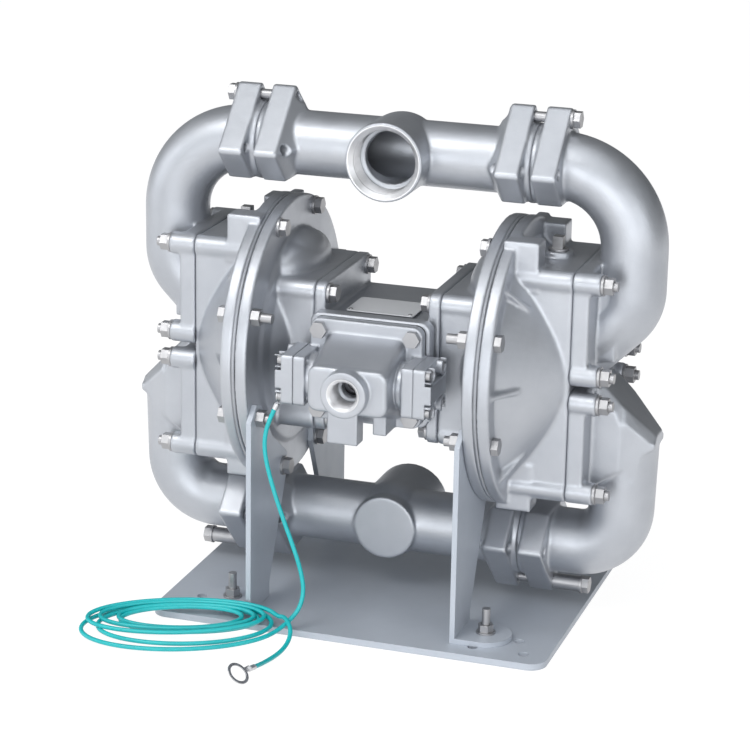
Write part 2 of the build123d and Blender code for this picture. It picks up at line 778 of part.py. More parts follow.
with BuildPart() as elbow_upper_right:
    with BuildLine(front_plane(0)) as upper_run:
        FilletPolyline(
            (joint_flange_inner, upper_axis),
            (upper_leg_x, upper_axis),
            (upper_leg_x, scoop_z),
            (parting_x - 8, parting_x - 8 - scoop_line),
            radius=[upper_bend, scoop_bend],
        )
    with BuildSketch(side_plane(joint_flange_inner)):
        with Locations((0, upper_axis)):
            Circle(pipe_radius)
    sweep(path=upper_run.line)
    with BuildSketch(side_plane(parting_x)):
        with Locations((0, 40)):
            Rectangle(90, 180)
    extrude(amount=-45, mode=Mode.SUBTRACT)
    with BuildSketch(level_plane(upper_plate_bottom)):
        with Locations((parting_x + 30, 0)):
            Rectangle(90, 90)
    extrude(amount=-45, mode=Mode.SUBTRACT)
    with BuildSketch(side_plane(parting_x)):
        with Locations((0, sum(upper_rows) / 2)):
            Rectangle(2 * pad_half_width, upper_rows[1] - upper_rows[0])
            Rectangle(
                2 * (pad_half_width - elbow_boss_radius),
                upper_rows[1] - upper_rows[0] + 2 * elbow_boss_radius,
            )
        with Locations(elbow_bolts_upper):
            Circle(elbow_boss_radius)
    extrude(amount=elbow_plate_thickness)
    with BuildSketch(side_plane(parting_x)):
        with Locations(elbow_bolts_upper):
            Circle(elbow_boss_radius)
    extrude(amount=elbow_boss_length)
    with BuildSketch(side_plane(parting_x)):
        with Locations((0, upper_port_z + 2)):
            Rectangle(scoop_width, scoop_height)
    extrude(amount=upper_leg_x - parting_x - 8)
    with BuildSketch(side_plane(joint_flange_inner)):
        with BuildLine():
            Polyline(*joint_points(upper_axis, 1), close=True)
        make_face()
    extrude(amount=joint_flange_thickness)
    with BuildSketch(side_plane(joint_face_x)):
        with Locations((0, upper_axis)):
            Circle(register_radius)
    extrude(amount=register_height)
    with BuildLine(front_plane(0)) as upper_bore_run:
        FilletPolyline(
            (joint_face_x, upper_axis),
            (upper_leg_x, upper_axis),
            (upper_leg_x, scoop_z),
            (parting_x + 21, parting_x + 21 - scoop_line),
            radius=[upper_bend, scoop_bend],
        )
    with BuildSketch(side_plane(joint_face_x)):
        with Locations((0, upper_axis)):
            Circle(pipe_bore)
    sweep(path=upper_bore_run.line, mode=Mode.SUBTRACT)
    with BuildSketch(front_plane(0)):
        with BuildLine():
            Polyline(
                (parting_x, upper_port_z - port_half_height + 2),
                (parting_x + 19, upper_port_z - port_half_height + 2),
                (parting_x + 33, upper_port_z - port_half_height + 16),
                (parting_x + 33, upper_port_z + port_half_height),
                (parting_x, upper_port_z + port_half_height),
                close=True,
            )
        make_face()
    extrude(amount=22, both=True, mode=Mode.SUBTRACT)
    with BuildSketch(side_plane(parting_x)):
        with Locations((0, upper_port_z)):
            Rectangle(
                2 * (seat_half_width + seat_clearance), 2 * (seat_half_height + seat_clearance)
            )
    extrude(amount=seat_thickness + seat_clearance, mode=Mode.SUBTRACT)
    with BuildSketch(side_plane(parting_x)):
        with Locations(elbow_bolts_upper):
            Circle(bolt_hole_radius)
    extrude(amount=elbow_boss_length, mode=Mode.SUBTRACT)
    with BuildSketch(side_plane(joint_flange_inner)):
        with Locations(joint_holes(upper_axis, 1)):
            Circle(bolt_hole_radius)
    extrude(amount=joint_flange_thickness, mode=Mode.SUBTRACT)

with BuildPart() as elbow_upper_left:
    mirror(elbow_upper_right.part, about=Plane.YZ)

# Lower elbows: discharge side, with the wedge pocket that the flap swings into
wedge_half_width = 33.0
wedge_roof = 200.0
wedge_reach = 256.5
wedge_end_height = 9.5
wedge_shoulder = wedge_reach - wedge_roof + wedge_end_height
wedge_foot = 103.0
wedge_wall = 6.0
wedge_roof_wall = wedge_wall * math.sqrt(2)
lower_top = lower_rows[1] + elbow_boss_radius
pocket_half_width = 28.5

with BuildPart() as elbow_lower_right:
    with BuildLine(front_plane(0)) as lower_run:
        FilletPolyline(
            (joint_flange_inner, lower_axis),
            (lower_leg_x, lower_axis),
            (lower_leg_x + 3, -58),
            radius=lower_bend,
        )
    with BuildSketch(side_plane(joint_flange_inner)):
        with Locations((0, lower_axis)):
            Circle(pipe_radius)
    sweep(path=lower_run.line)
    with BuildSketch(front_plane(0)):
        with BuildLine():
            Polyline(
                (parting_x + 2, lower_top),
                (wedge_roof - lower_top, lower_top),
                (wedge_reach, wedge_roof - wedge_reach),
                (wedge_reach, -wedge_shoulder),
                (parting_x + 24, -wedge_foot),
                (parting_x + 2, -wedge_foot),
                close=True,
            )
        make_face()
    extrude(amount=wedge_half_width, both=True)
    with BuildSketch(side_plane(parting_x)):
        with Locations((0, sum(lower_rows) / 2)):
            Rectangle(2 * pad_half_width, lower_rows[1] - lower_rows[0])
            Rectangle(
                2 * (pad_half_width - elbow_boss_radius),
                lower_rows[1] - lower_rows[0] + 2 * elbow_boss_radius,
            )
        with Locations(elbow_bolts_lower):
            Circle(elbow_boss_radius)
    extrude(amount=elbow_plate_thickness)
    with BuildSketch(side_plane(parting_x)):
        with Locations(elbow_bolts_lower):
            Circle(elbow_boss_radius)
    extrude(amount=elbow_boss_length)
    with BuildSketch(side_plane(joint_flange_inner)):
        with BuildLine():
            Polyline(*joint_points(lower_axis, -1), close=True)
        make_face()
    extrude(amount=joint_flange_thickness)
    with BuildSketch(side_plane(joint_face_x)):
        with Locations((0, lower_axis)):
            Circle(register_radius)
    extrude(amount=register_height)
    with BuildLine(front_plane(0)) as lower_bore_run:
        FilletPolyline(
            (joint_face_x, lower_axis),
            (lower_leg_x, lower_axis),
            (lower_leg_x + 2.5, -80),
            radius=lower_bend,
        )
    with BuildSketch(side_plane(joint_face_x)):
        with Locations((0, lower_axis)):
            Circle(pipe_bore)
    sweep(path=lower_bore_run.line, mode=Mode.SUBTRACT)
    with BuildSketch(front_plane(0)):
        with BuildLine():
            Polyline(
                (parting_x, lower_top - wedge_wall - 6),
                (wedge_roof - lower_top - wedge_roof_wall + wedge_wall + 6, lower_top - wedge_wall - 6),
                (wedge_reach - wedge_wall, wedge_roof - wedge_reach - wedge_roof_wall + wedge_wall),
                (wedge_reach - wedge_wall, -wedge_shoulder),
                (parting_x + 30, -wedge_foot + wedge_wall + 5),
                (parting_x, -wedge_foot + wedge_wall + 1),
                close=True,
            )
        make_face()
    extrude(amount=pocket_half_width, both=True, mode=Mode.SUBTRACT)
    with BuildSketch(side_plane(parting_x)):
        with Locations(elbow_bolts_lower):
            Circle(bolt_hole_radius)
    extrude(amount=elbow_boss_length, mode=Mode.SUBTRACT)
    with BuildSketch(side_plane(joint_flange_inner)):
        with Locations(joint_holes(lower_axis, -1)):
            Circle(bolt_hole_radius)
    extrude(amount=joint_flange_thickness, mode=Mode.SUBTRACT)

with BuildPart() as elbow_lower_left:
    mirror(elbow_lower_right.part, about=Plane.YZ)

# Elbow studs with nuts and washers
all_elbow_bolts = elbow_bolts_upper + elbow_bolts_lower

with BuildPart() as elbow_studs:
    with BuildSketch(side_plane(parting_x - thread_depth)):
        with Locations(all_elbow_bolts):
            Circle(bolt_radius)
    extrude(
        amount=thread_depth + elbow_boss_length + washer_thickness + nut_height + stud_tip
    )
    mirror(about=Plane.YZ)

with BuildPart() as elbow_washers:
    with BuildSketch(side_plane(elbow_boss_x)):
        with Locations(all_elbow_bolts):
            Circle(washer_radius)
            Circle(bolt_hole_radius, mode=Mode.SUBTRACT)
    extrude(amount=washer_thickness)
    mirror(about=Plane.YZ)

with BuildPart() as elbow_nuts:
    with BuildSketch(side_plane(elbow_boss_x + washer_thickness)):
        with Locations(all_elbow_bolts):
            RegularPolygon(bolt_head_flats / 2, 6, major_radius=False)
            Circle(bolt_hole_radius, mode=Mode.SUBTRACT)
    extrude(amount=nut_height)
    mirror(about=Plane.YZ)

# Manifolds: pipe between two lugged joint flanges, a port boss and a rounded tee body
oring_radius = 31.0
oring_half_width = 1.5
oring_height = 2.4
groove_clearance = 0.1


def make_manifold(axis_z, up, port_side):
    """Manifold about a pipe axis; port_side is -1 for a port facing front, +1 for rear."""
    with BuildPart() as manifold:
        with BuildSketch(side_plane(-manifold_flange_x + 1)):
            with Locations((0, axis_z)):
                Circle(manifold_radius)
        extrude(amount=2 * manifold_flange_x - 2)
        for side in (-1, 1):
            with BuildSketch(side_plane(side * manifold_lug_start)):
                with BuildLine():
                    Polyline(*joint_points(axis_z, up), close=True)
                make_face()
            extrude(amount=side * manifold_flange_thickness)
            near = [(0.56 * y, axis_z + 0.56 * (z - axis_z)) for y, z in joint_points(axis_z, up)]
            with BuildSketch(side_plane(side * manifold_lug_start)):
                with BuildLine():
                    Polyline(*joint_points(axis_z, up), close=True)
                make_face()
            with BuildSketch(side_plane(side * (manifold_lug_start - manifold_taper))):
                with BuildLine():
                    Polyline(*near, close=True)
                make_face()
            loft(ruled=True)
            with BuildSketch(side_plane(side * manifold_flange_x)):
                with Locations((0, axis_z)):
                    Circle(register_radius)
            extrude(amount=side * register_height)
        with BuildSketch(front_plane(0)):
            with Locations((0, axis_z)):
                Circle(port_boss_radius)
        extrude(amount=-port_side * port_face)
        with Locations((0, 0, pump_height + axis_z)):
            Sphere(port_boss_radius)
        if port_side > 0:
            with BuildSketch(front_plane(0)):
                with Locations((0, axis_z)):
                    Circle(blank_boss_radius)
            extrude(amount=blank_boss_face)
        with BuildSketch(side_plane(-manifold_flange_x - register_height)):
            with Locations((0, axis_z)):
                Circle(manifold_bore)
        extrude(amount=2 * (manifold_flange_x + register_height), mode=Mode.SUBTRACT)
        with BuildSketch(front_plane(port_side * port_face)):
            with Locations((0, axis_z)):
                Circle(port_thread_radius)
        extrude(amount=port_side * port_thread_depth, mode=Mode.SUBTRACT)
        with BuildSketch(front_plane(port_side * port_face)):
            with Locations((0, axis_z)):
                Circle(manifold_bore)
        extrude(amount=port_side * port_face, mode=Mode.SUBTRACT)
        for side in (-1, 1):
            with BuildSketch(side_plane(side * (manifold_flange_x + register_height))):
                with Locations((0, axis_z)):
                    Circle(oring_radius + oring_half_width + groove_clearance)
                    Circle(
                        oring_radius - oring_half_width - groove_clearance, mode=Mode.SUBTRACT
                    )
            extrude(amount=-side * (oring_height + groove_clearance), mode=Mode.SUBTRACT)
        with BuildSketch(side_plane(manifold_lug_start - manifold_taper)):
            with Locations(joint_holes(axis_z, up)):
                Circle(bolt_hole_radius)
        extrude(amount=manifold_taper + manifold_flange_thickness, mode=Mode.SUBTRACT)
        with BuildSketch(side_plane(-manifold_lug_start + manifold_taper)):
            with Locations(joint_holes(axis_z, up)):
                Circle(bolt_hole_radius)
        extrude(amount=-manifold_taper - manifold_flange_thickness, mode=Mode.SUBTRACT)
    return manifold.part


with BuildPart() as upper_manifold:
    add(make_manifold(upper_axis, 1, -1))

with BuildPart() as lower_manifold:
    add(make_manifold(lower_axis, -1, 1))

with BuildPart() as manifold_orings:
    for axis_z in (upper_axis, lower_axis):
        with BuildSketch(side_plane(joint_face_x - oring_height)):
            with Locations((0, axis_z)):
                Circle(oring_radius + oring_half_width)
                Circle(oring_radius - oring_half_width, mode=Mode.SUBTRACT)
        extrude(amount=oring_height)
    mirror(about=Plane.YZ)

# Joint bolts: short at the upper joints, long with spacer sleeves at the lower ones
with BuildPart() as upper_joint_bolts:
    with BuildSketch(side_plane(joint_flange_outer)):
        with Locations(bolted_holes(upper_axis, 1)):
            Circle(washer_radius - 0.6)
    extrude(amount=washer_thickness)
    with BuildSketch(side_plane(joint_flange_outer + washer_thickness)):
        with Locations(bolted_holes(upper_axis, 1)):
            RegularPolygon(bolt_head_flats / 2, 6, major_radius=False)
    extrude(amount=bolt_head_height)
    with BuildSketch(side_plane(joint_flange_outer)):
        with Locations(bolted_holes(upper_axis, 1)):
            Circle(bolt_radius)
    extrude(amount=-(joint_flange_outer - manifold_lug_start - 3))
    mirror(about=Plane.YZ)

with BuildPart() as spacer_sleeves:
    with BuildSketch(side_plane(joint_flange_outer)):
        with Locations(bolted_holes(lower_axis, -1)):
            Circle(sleeve_radius)
    extrude(amount=sleeve_length)
    with BuildSketch(side_plane(joint_flange_outer)):
        with Locations(bolted_holes(lower_axis, -1)):
            Circle(bolt_hole_radius)
    extrude(amount=sleeve_length, mode=Mode.SUBTRACT)
    mirror(about=Plane.YZ)

with BuildPart() as lower_joint_bolts:
    with BuildSketch(side_plane(joint_flange_outer + sleeve_length)):
        with Locations(bolted_holes(lower_axis, -1)):
            Circle(washer_radius - 1.0)
    extrude(amount=washer_thickness)
    with BuildSketch(side_plane(joint_flange_outer + sleeve_length + washer_thickness)):
        with Locations(bolted_holes(lower_axis, -1)):
            RegularPolygon(bolt_head_flats / 2, 6, major_radius=False)
    extrude(amount=bolt_head_height)
    with BuildSketch(side_plane(joint_flange_outer + sleeve_length)):
        with Locations(bolted_holes(lower_axis, -1)):
            Circle(bolt_radius)
    extrude(amount=-(joint_flange_outer + sleeve_length - manifold_lug_start - 3))
    mirror(about=Plane.YZ)

# Air valve body: mounting plate, sloped web, box with inlet boss, necks, end flanges and feet
plate_front = centre_front - gasket_thickness - valve_plate_thickness

with BuildPart() as air_valve_body:
    with BuildSketch(front_plane(centre_front - gasket_thickness)):
        RectangleRounded(2 * valve_plate_half_width, 2 * valve_plate_half_height, 9)
    extrude(amount=valve_plate_thickness)
    with BuildSketch(front_plane(plate_front)):
        with Locations((0, -2)):
            RectangleRounded(76, 76, 9)
    with BuildSketch(front_plane(valve_box_front + 6)):
        with Locations((0, valve_z)):
            RectangleRounded(
                2 * valve_box_half_width - 1, 2 * valve_box_half_height - 1, valve_box_corner
            )
    loft()
    with BuildSketch(front_plane(valve_y + 4)):
        with Locations((0, valve_z)):
            RectangleRounded(
                2 * valve_box_half_width, 2 * valve_box_half_height, valve_box_corner
            )
    extrude(amount=valve_y + 4 - valve_box_front)
    fillet(
        air_valve_body.faces().filter_by(Axis.Y).sort_by(Axis.Y)[0].outer_wire().edges(), 3.5
    )
    with BuildSketch(front_plane(valve_box_front + 1)):
        with Locations((0, valve_z)):
            Circle(inlet_boss_radius)
    extrude(amount=valve_box_front + 1 - inlet_boss_front)
    with BuildSketch(side_plane(-valve_end_inner - 1)):
        with Locations((valve_y, valve_z)):
            Circle(valve_neck_radius)
    extrude(amount=2 * valve_end_inner + 2)
    for side in (-1, 1):
        with BuildSketch(side_plane(side * valve_end_inner)):
            with Locations((valve_y, valve_z)):
                RectangleRounded(2 * valve_end_half, 2 * valve_end_half, 3)
        extrude(amount=side * (valve_end_outer - valve_end_inner))
    with BuildSketch(level_plane(valve_z - valve_box_half_height + 4)):
        with Locations((-9.5, -124)):
            Rectangle(29, 18)
    extrude(amount=-38.5)
    with BuildSketch(level_plane(valve_z - valve_box_half_height + 4)):
        with Locations((23.5, -111)):
            Rectangle(13, 28)
    extrude(amount=-28.5)
    with BuildSketch(side_plane(-valve_end_outer)):
        with Locations((valve_y, valve_z)):
            Circle(sleeve_outer_radius)
    extrude(amount=2 * valve_end_outer, mode=Mode.SUBTRACT)
    with BuildSketch(front_plane(inlet_boss_front)):
        with Locations((0, valve_z)):
            Circle(inlet_thread_radius)
    extrude(amount=-inlet_thread_depth, mode=Mode.SUBTRACT)
    with BuildSketch(front_plane(inlet_boss_front)):
        with Locations((0, valve_z)):
            Circle(inlet_passage_radius)
    extrude(amount=inlet_boss_front - valve_y, mode=Mode.SUBTRACT)
    with BuildSketch(front_plane(centre_front)):
        for z in (-valve_bolt_z, valve_bolt_z):
            with Locations((-valve_bolt_x, z), (valve_bolt_x, z)):
                Circle(bolt_hole_radius)
    extrude(amount=20, mode=Mode.SUBTRACT)
    for side in (-1, 1):
        with BuildSketch(side_plane(side * valve_end_outer)):
            with Locations((valve_y, valve_z)):
                with GridLocations(2 * cap_screw_offset, 2 * cap_screw_offset, 2, 2):
                    Circle(cap_screw_radius + 0.1)
        extrude(amount=-side * (valve_end_outer - valve_end_inner), mode=Mode.SUBTRACT)

with BuildPart() as valve_gasket:
    with BuildSketch(front_plane(centre_front)):
        RectangleRounded(2 * valve_plate_half_width, 2 * valve_plate_half_height, 9)
        for z in (-valve_bolt_z, valve_bolt_z):
            with Locations((-valve_bolt_x, z), (valve_bolt_x, z)):
                Circle(bolt_hole_radius, mode=Mode.SUBTRACT)
        Rectangle(60, 50, mode=Mode.SUBTRACT)
    extrude(amount=gasket_thickness)

with BuildPart() as valve_bolts:
    valve_bolt_places = [
        (x, z) for x in (-valve_bolt_x, valve_bolt_x) for z in (-valve_bolt_z, valve_bolt_z)
    ]
    with BuildSketch(front_plane(plate_front)):
        with Locations(valve_bolt_places):
            RegularPolygon(bolt_head_flats / 2, 6, major_radius=False)
    extrude(amount=bolt_head_height)
    with BuildSketch(front_plane(plate_front)):
        with Locations(valve_bolt_places):
            Circle(bolt_radius)
    extrude(amount=-(valve_plate_thickness + gasket_thickness + thread_depth - 3))

with BuildPart() as valve_sleeve:
    with BuildSketch(side_plane(-valve_end_outer + bumper_thickness)):
        with Locations((valve_y, valve_z)):
            Circle(sleeve_outer_radius - running_clearance)
            Circle(spool_radius + running_clearance, mode=Mode.SUBTRACT)
    extrude(amount=2 * (valve_end_outer - bumper_thickness))
    with BuildSketch(front_plane(inlet_boss_front)):
        with Locations((0, valve_z)):
            Circle(6)
    extrude(amount=inlet_boss_front - valve_y, mode=Mode.SUBTRACT)

with BuildPart() as main_spool:
    with BuildSketch(side_plane(-spool_half_length)):
        with Locations((valve_y, valve_z)):
            Circle(spool_radius)
    extrude(amount=2 * spool_half_length)
    for x in (-20, 20):
        with BuildSketch(side_plane(x - 7)):
            with Locations((valve_y, valve_z)):
                Circle(spool_radius + 1)
                Circle(spool_radius - 4, mode=Mode.SUBTRACT)
        extrude(amount=14, mode=Mode.SUBTRACT)

with BuildPart() as bumpers:
    with BuildSketch(side_plane(valve_end_outer - bumper_thickness)):
        with Locations((valve_y, valve_z)):
            Circle(sleeve_outer_radius - running_clearance)
    extrude(amount=bumper_thickness)
    mirror(about=Plane.YZ)

# End caps: square plates with a middle rib and open-fronted collars around the screws
with BuildPart() as end_cap_right:
    with BuildSketch(side_plane(valve_end_outer)):
        with Locations((valve_y, valve_z)):
            RectangleRounded(2 * valve_end_half, 2 * valve_end_half, 3)
    extrude(amount=cap_thickness)
    with BuildSketch(side_plane(valve_end_outer + cap_thickness)):
        with Locations((valve_y, valve_z)):
            Rectangle(2 * valve_end_half, 2 * cap_rib_half)
    extrude(amount=cap_rib_height)
    with BuildSketch(side_plane(valve_end_outer + cap_thickness)):
        with Locations((valve_y, valve_z)):
            with GridLocations(2 * cap_screw_offset, 2 * cap_screw_offset, 2, 2):
                Circle(cap_head_radius + 3.2)
                Circle(cap_head_radius + 0.8, mode=Mode.SUBTRACT)
        with Locations((valve_y - valve_end_half - 3, valve_z), (valve_y + valve_end_half + 3, valve_z)):
            Rectangle(6, 70, mode=Mode.SUBTRACT)
        with Locations((valve_y, valve_z - valve_end_half - 5), (valve_y, valve_z + valve_end_half + 5)):
            Rectangle(70, 10, mode=Mode.SUBTRACT)
        with Locations((valve_y - cap_screw_offset - 5, valve_z)):
            with GridLocations(1, 2 * cap_screw_offset, 1, 2):
                Rectangle(10, 2 * cap_head_radius, mode=Mode.SUBTRACT)
        with Locations((valve_y, valve_z)):
            with GridLocations(2 * cap_screw_offset, 2 * cap_screw_offset + 10, 2, 2):
                Rectangle(2 * cap_head_radius, 10, mode=Mode.SUBTRACT)
    extrude(amount=cap_rib_height)
    with BuildSketch(side_plane(valve_end_outer)):
        with Locations((valve_y, valve_z)):
            with GridLocations(2 * cap_screw_offset, 2 * cap_screw_offset, 2, 2):
                Circle(cap_screw_radius + 0.1)
    extrude(amount=cap_thickness, mode=Mode.SUBTRACT)

with BuildPart() as end_cap_left:
    mirror(end_cap_right.part, about=Plane.YZ)

with BuildPart() as end_cap_screws:
    with BuildSketch(side_plane(valve_end_outer + cap_thickness)):
        with Locations((valve_y, valve_z)):
            with GridLocations(2 * cap_screw_offset, 2 * cap_screw_offset, 2, 2):
                Circle(cap_head_radius)
    extrude(amount=cap_head_height)
    with BuildSketch(side_plane(valve_end_outer + cap_thickness)):
        with Locations((valve_y, valve_z)):
            with GridLocations(2 * cap_screw_offset, 2 * cap_screw_offset, 2, 2):
                Circle(cap_screw_radius)
    extrude(amount=-(cap_thickness + valve_end_outer - valve_end_inner - 1))
    mirror(about=Plane.YZ)

# Pipe plugs with square heads
with BuildPart() as pipe_plugs:
    with BuildSketch(level_plane(plug_boss_top - plug_thread_length)):
        with Locations((plug_x, 0)):
            Circle(plug_radius)
    extrude(amount=plug_thread_length)
    with BuildSketch(level_plane(plug_boss_top)):
        with Locations((plug_x, 0)):
            Circle(plug_collar_radius)
    extrude(amount=plug_collar_height)
    with BuildSketch(level_plane(plug_boss_top + plug_collar_height)):
        with Locations((plug_x, 0)):
            Rectangle(plug_square, plug_square)
    extrude(amount=plug_square_height)
    mirror(about=Plane.YZ)

# Floor plate with its anchor holes and four welded studs
with BuildPart() as base_plate:
    with BuildSketch(Plane.XY):
        RectangleRounded(plate_length, plate_width, plate_corner)
        for x, y in (anchor_far, anchor_near, anchor_inner):
            with GridLocations(2 * x, 2 * y, 2, 2):
                Circle(anchor_hole_radius, mode=Mode.SUBTRACT)
    extrude(amount=plate_thickness)

with BuildPart() as foot_studs:
    with BuildSketch(Plane.XY.offset(plate_thickness)):
        with GridLocations(2 * foot_stud_x, 2 * foot_stud_y, 2, 2):
            Circle(foot_stud_radius)
    extrude(amount=foot_stud_height)

foot_top = plate_thickness + leg_thickness

with BuildPart() as foot_washers:
    with BuildSketch(Plane.XY.offset(foot_top)):
        with GridLocations(2 * foot_stud_x, 2 * foot_stud_y, 2, 2):
            Circle(foot_washer_radius)
            Circle(foot_stud_radius + bolt_hole_clearance, mode=Mode.SUBTRACT)
    extrude(amount=foot_washer_thickness)

with BuildPart() as foot_nuts:
    with BuildSketch(Plane.XY.offset(foot_top + foot_washer_thickness)):
        with GridLocations(2 * foot_stud_x, 2 * foot_stud_y, 2, 2):
            RegularPolygon(foot_nut_flats / 2, 6, major_radius=False)
            Circle(foot_stud_radius + bolt_hole_clearance, mode=Mode.SUBTRACT)
    extrude(amount=foot_nut_height)

# Legs: tapered strips bolted to the inner face of each rim, feet turned outward
leg_low = plate_top + leg_thickness
leg_bolt_side = around(rim_bolt_radius, [180 + rim_step / 2])[0]
leg_bolt_low = around(rim_bolt_radius, [270 - rim_step / 2])[0]
leg_end_radius = 13.0
leg_neck = 78.0
leg_face_x = inner_rim_start

with BuildPart() as leg_front_right:
    with BuildSketch(side_plane(leg_face_x)):
        with BuildLine():
            Polyline(
                (-leg_front, plate_top),
                (-leg_front, leg_bolt_side[1]),
                (leg_bolt_side[0] - 2, leg_bolt_side[1] + leg_end_radius),
                (leg_bolt_side[0] + 10, leg_bolt_side[1] + leg_end_radius - 4),
                (-leg_neck, -leg_neck),
                (leg_bolt_low[0] + leg_end_radius - 2, leg_bolt_low[1] + leg_end_radius - 2),
                (leg_bolt_low[0] + leg_end_radius, leg_bolt_low[1] - 2),
                (-leg_front + leg_foot_depth, plate_top + 14),
                (-leg_front + leg_foot_depth, plate_top),
                close=True,
            )
        make_face()
    extrude(amount=-leg_thickness)
    with BuildSketch(level_plane(plate_top)):
        with Locations((leg_face_x - leg_thickness, -leg_front)):
            Rectangle(
                leg_foot_reach - leg_face_x + leg_thickness - leg_foot_depth / 2,
                leg_foot_depth,
                align=(Align.MIN, Align.MIN),
            )
        with Locations((leg_foot_reach - leg_foot_depth / 2, -leg_front + leg_foot_depth / 2)):
            Circle(leg_foot_depth / 2)
    extrude(amount=leg_thickness)
    with BuildSketch(side_plane(leg_face_x)):
        with Locations(leg_bolt_side, leg_bolt_low):
            Circle(bolt_hole_radius)
    extrude(amount=-leg_thickness, mode=Mode.SUBTRACT)
    with BuildSketch(level_plane(plate_top)):
        with Locations((foot_stud_x, -foot_stud_y)):
            Circle(foot_stud_radius + bolt_hole_clearance)
    extrude(amount=leg_thickness, mode=Mode.SUBTRACT)

with BuildPart() as leg_front_left:
    mirror(leg_front_right.part, about=Plane.YZ)

with BuildPart() as leg_rear_right:
    mirror(leg_front_right.part, about=Plane.XZ)

with BuildPart() as leg_rear_left:
    mirror(leg_front_left.part, about=Plane.XZ)

# Ground cable: ring terminal under a cap screw, drop to the floor, loose oval coil and tail
terminal_thickness = 0.9
terminal_ring_radius = 5.6
terminal_barrel_radius = 2.6
terminal_barrel_length = 6.0
terminal_tongue = 4.4
loose_ring_radius = 11.0
loose_ring_bore = 8.2
loose_barrel_length = 9.0
screw_y = valve_y - cap_screw_offset
screw_z = valve_z - cap_screw_offset
terminal_x = -(valve_end_outer + cap_thickness + cap_head_height)

drop_route = [
    (-76.5, -129.2, 210.5),
    (-81.0, -131.0, 199.5),
    (-84.3, -133.0, 186.0),
    (-84.0, -134.8, 170.5),
    (-79.0, -136.6, 151.0),
    (-71.5, -138.2, 129.0),
    (-62.5, -139.8, 106.5),
    (-53.0, -141.2, 84.0),
    (-45.0, -142.3, 62.5),
    (-41.0, -143.6, 43.5),
    (-42.4, -147.0, 29.5),
    (-47.0, -151.8, 19.4),
    (-53.8, -157.8, 13.2),
]
tail_route = [
    (-62.0, -151.8, 17.2),
    (-56.5, -156.4, 18.9),
    (-50.3, -162.2, 18.2),
    (-43.5, -171.0, 13.6),
    (-40.8, -183.0, 8.2),
    (-41.8, -195.5, 4.2),
    (-44.5, -209.0, 2.6),
    (-47.5, -222.5, 2.7),
    (-49.6, -235.0, 3.8),
    (-51.2, -245.5, 5.6),
]


def route_radii(points):
    """Largest tangent arc for each corner of a cable route."""
    radii = []
    for before, here, after in zip(points, points[1:], points[2:]):
        into = Vector(*here) - Vector(*before)
        away = Vector(*after) - Vector(*here)
        turn = math.radians(into.get_angle(away))
        shorter = min(into.length, away.length)
        radii.append(0.45 * shorter / math.tan(turn / 2))
    return radii


def make_cable(points):
    """Round cable along straight runs joined by tangent arcs."""
    radii = route_radii(points)
    print("cable arcs", [round(r, 1) for r in radii])
    start = Vector(*points[0])
    way = Vector(*points[1]) - start
    with BuildPart() as cable:
        with BuildLine() as route:
            FilletPolyline(*points, radius=radii)
        with BuildSketch(Plane(origin=start, z_dir=way)):
            Circle(cable_radius)
        sweep(path=route.line)
    length = sum(edge.length for edge in route.edges())
    print("cable volume ratio", cable.part.volume / (length * math.pi * cable_radius**2))
    return cable.part


with BuildPart() as ground_cable_drop:
    add(make_cable(drop_route))

with BuildPart() as ground_cable_tail:
    add(make_cable(tail_route))

coil_centre = (-146.0, -189.5)
coil_turn = 18.0
coil_half_length = 95.8
coil_half_width = 47.5
coil_hole_centre = (-154.0, -175.0)
coil_hole_half_length = 60.0
coil_hole_half_width = 27.0
coil_height = 8.0
coil_tilt = 5.9
coil_floor_y = -244.0
coil_clearance = 0.3
coil_rise = math.tan(math.radians(coil_tilt))

with BuildPart() as ground_cable_coil:
    coil_plane = Plane(
        origin=(0, 0, coil_clearance - coil_floor_y * coil_rise),
        x_dir=(1, 0, 0),
        z_dir=(0, -math.sin(math.radians(coil_tilt)), math.cos(math.radians(coil_tilt))),
    )
    with BuildSketch(coil_plane):
        with Locations(coil_centre):
            Ellipse(coil_half_length, coil_half_width, rotation=coil_turn)
        with Locations(coil_hole_centre):
            Ellipse(
                coil_hole_half_length,
                coil_hole_half_width,
                rotation=coil_turn,
                mode=Mode.SUBTRACT,
            )
    extrude(amount=coil_height)

# Ring terminals at both ends of the ground cable
with BuildPart() as ground_terminal_upper:
    with BuildSketch(side_plane(terminal_x)):
        with Locations((screw_y, screw_z)):
            Circle(terminal_ring_radius)
        with Locations((screw_y, screw_z - terminal_ring_radius)):
            Rectangle(terminal_tongue, 2 * terminal_tongue)
    extrude(amount=-terminal_thickness)
    drop_start = Vector(*drop_route[0])
    with BuildSketch(Plane(origin=drop_start, z_dir=drop_start - Vector(*drop_route[1]))):
        Circle(terminal_barrel_radius)
    extrude(amount=terminal_barrel_length)

tail_end = Vector(*tail_route[-1])
tail_way = (tail_end - Vector(*tail_route[-2])).normalized()
loose_ring_centre = (-57.8, -268.2, 7.6)

with BuildPart() as ground_terminal_loose:
    with BuildSketch(Plane(origin=tail_end, z_dir=tail_way)):
        Circle(terminal_barrel_radius)
    extrude(amount=loose_barrel_length)
    ring_plane = Plane(
        origin=loose_ring_centre,
        x_dir=(-0.3, -0.95, 0),
        z_dir=(0.643, -0.15, 0.742),
    )
    with BuildSketch(ring_plane):
        Circle(loose_ring_radius)
        with Locations((-loose_ring_radius - 2, 0)):
            Rectangle(9, 5)
        Circle(loose_ring_bore, mode=Mode.SUBTRACT)
    extrude(amount=terminal_thickness / 2, both=True)

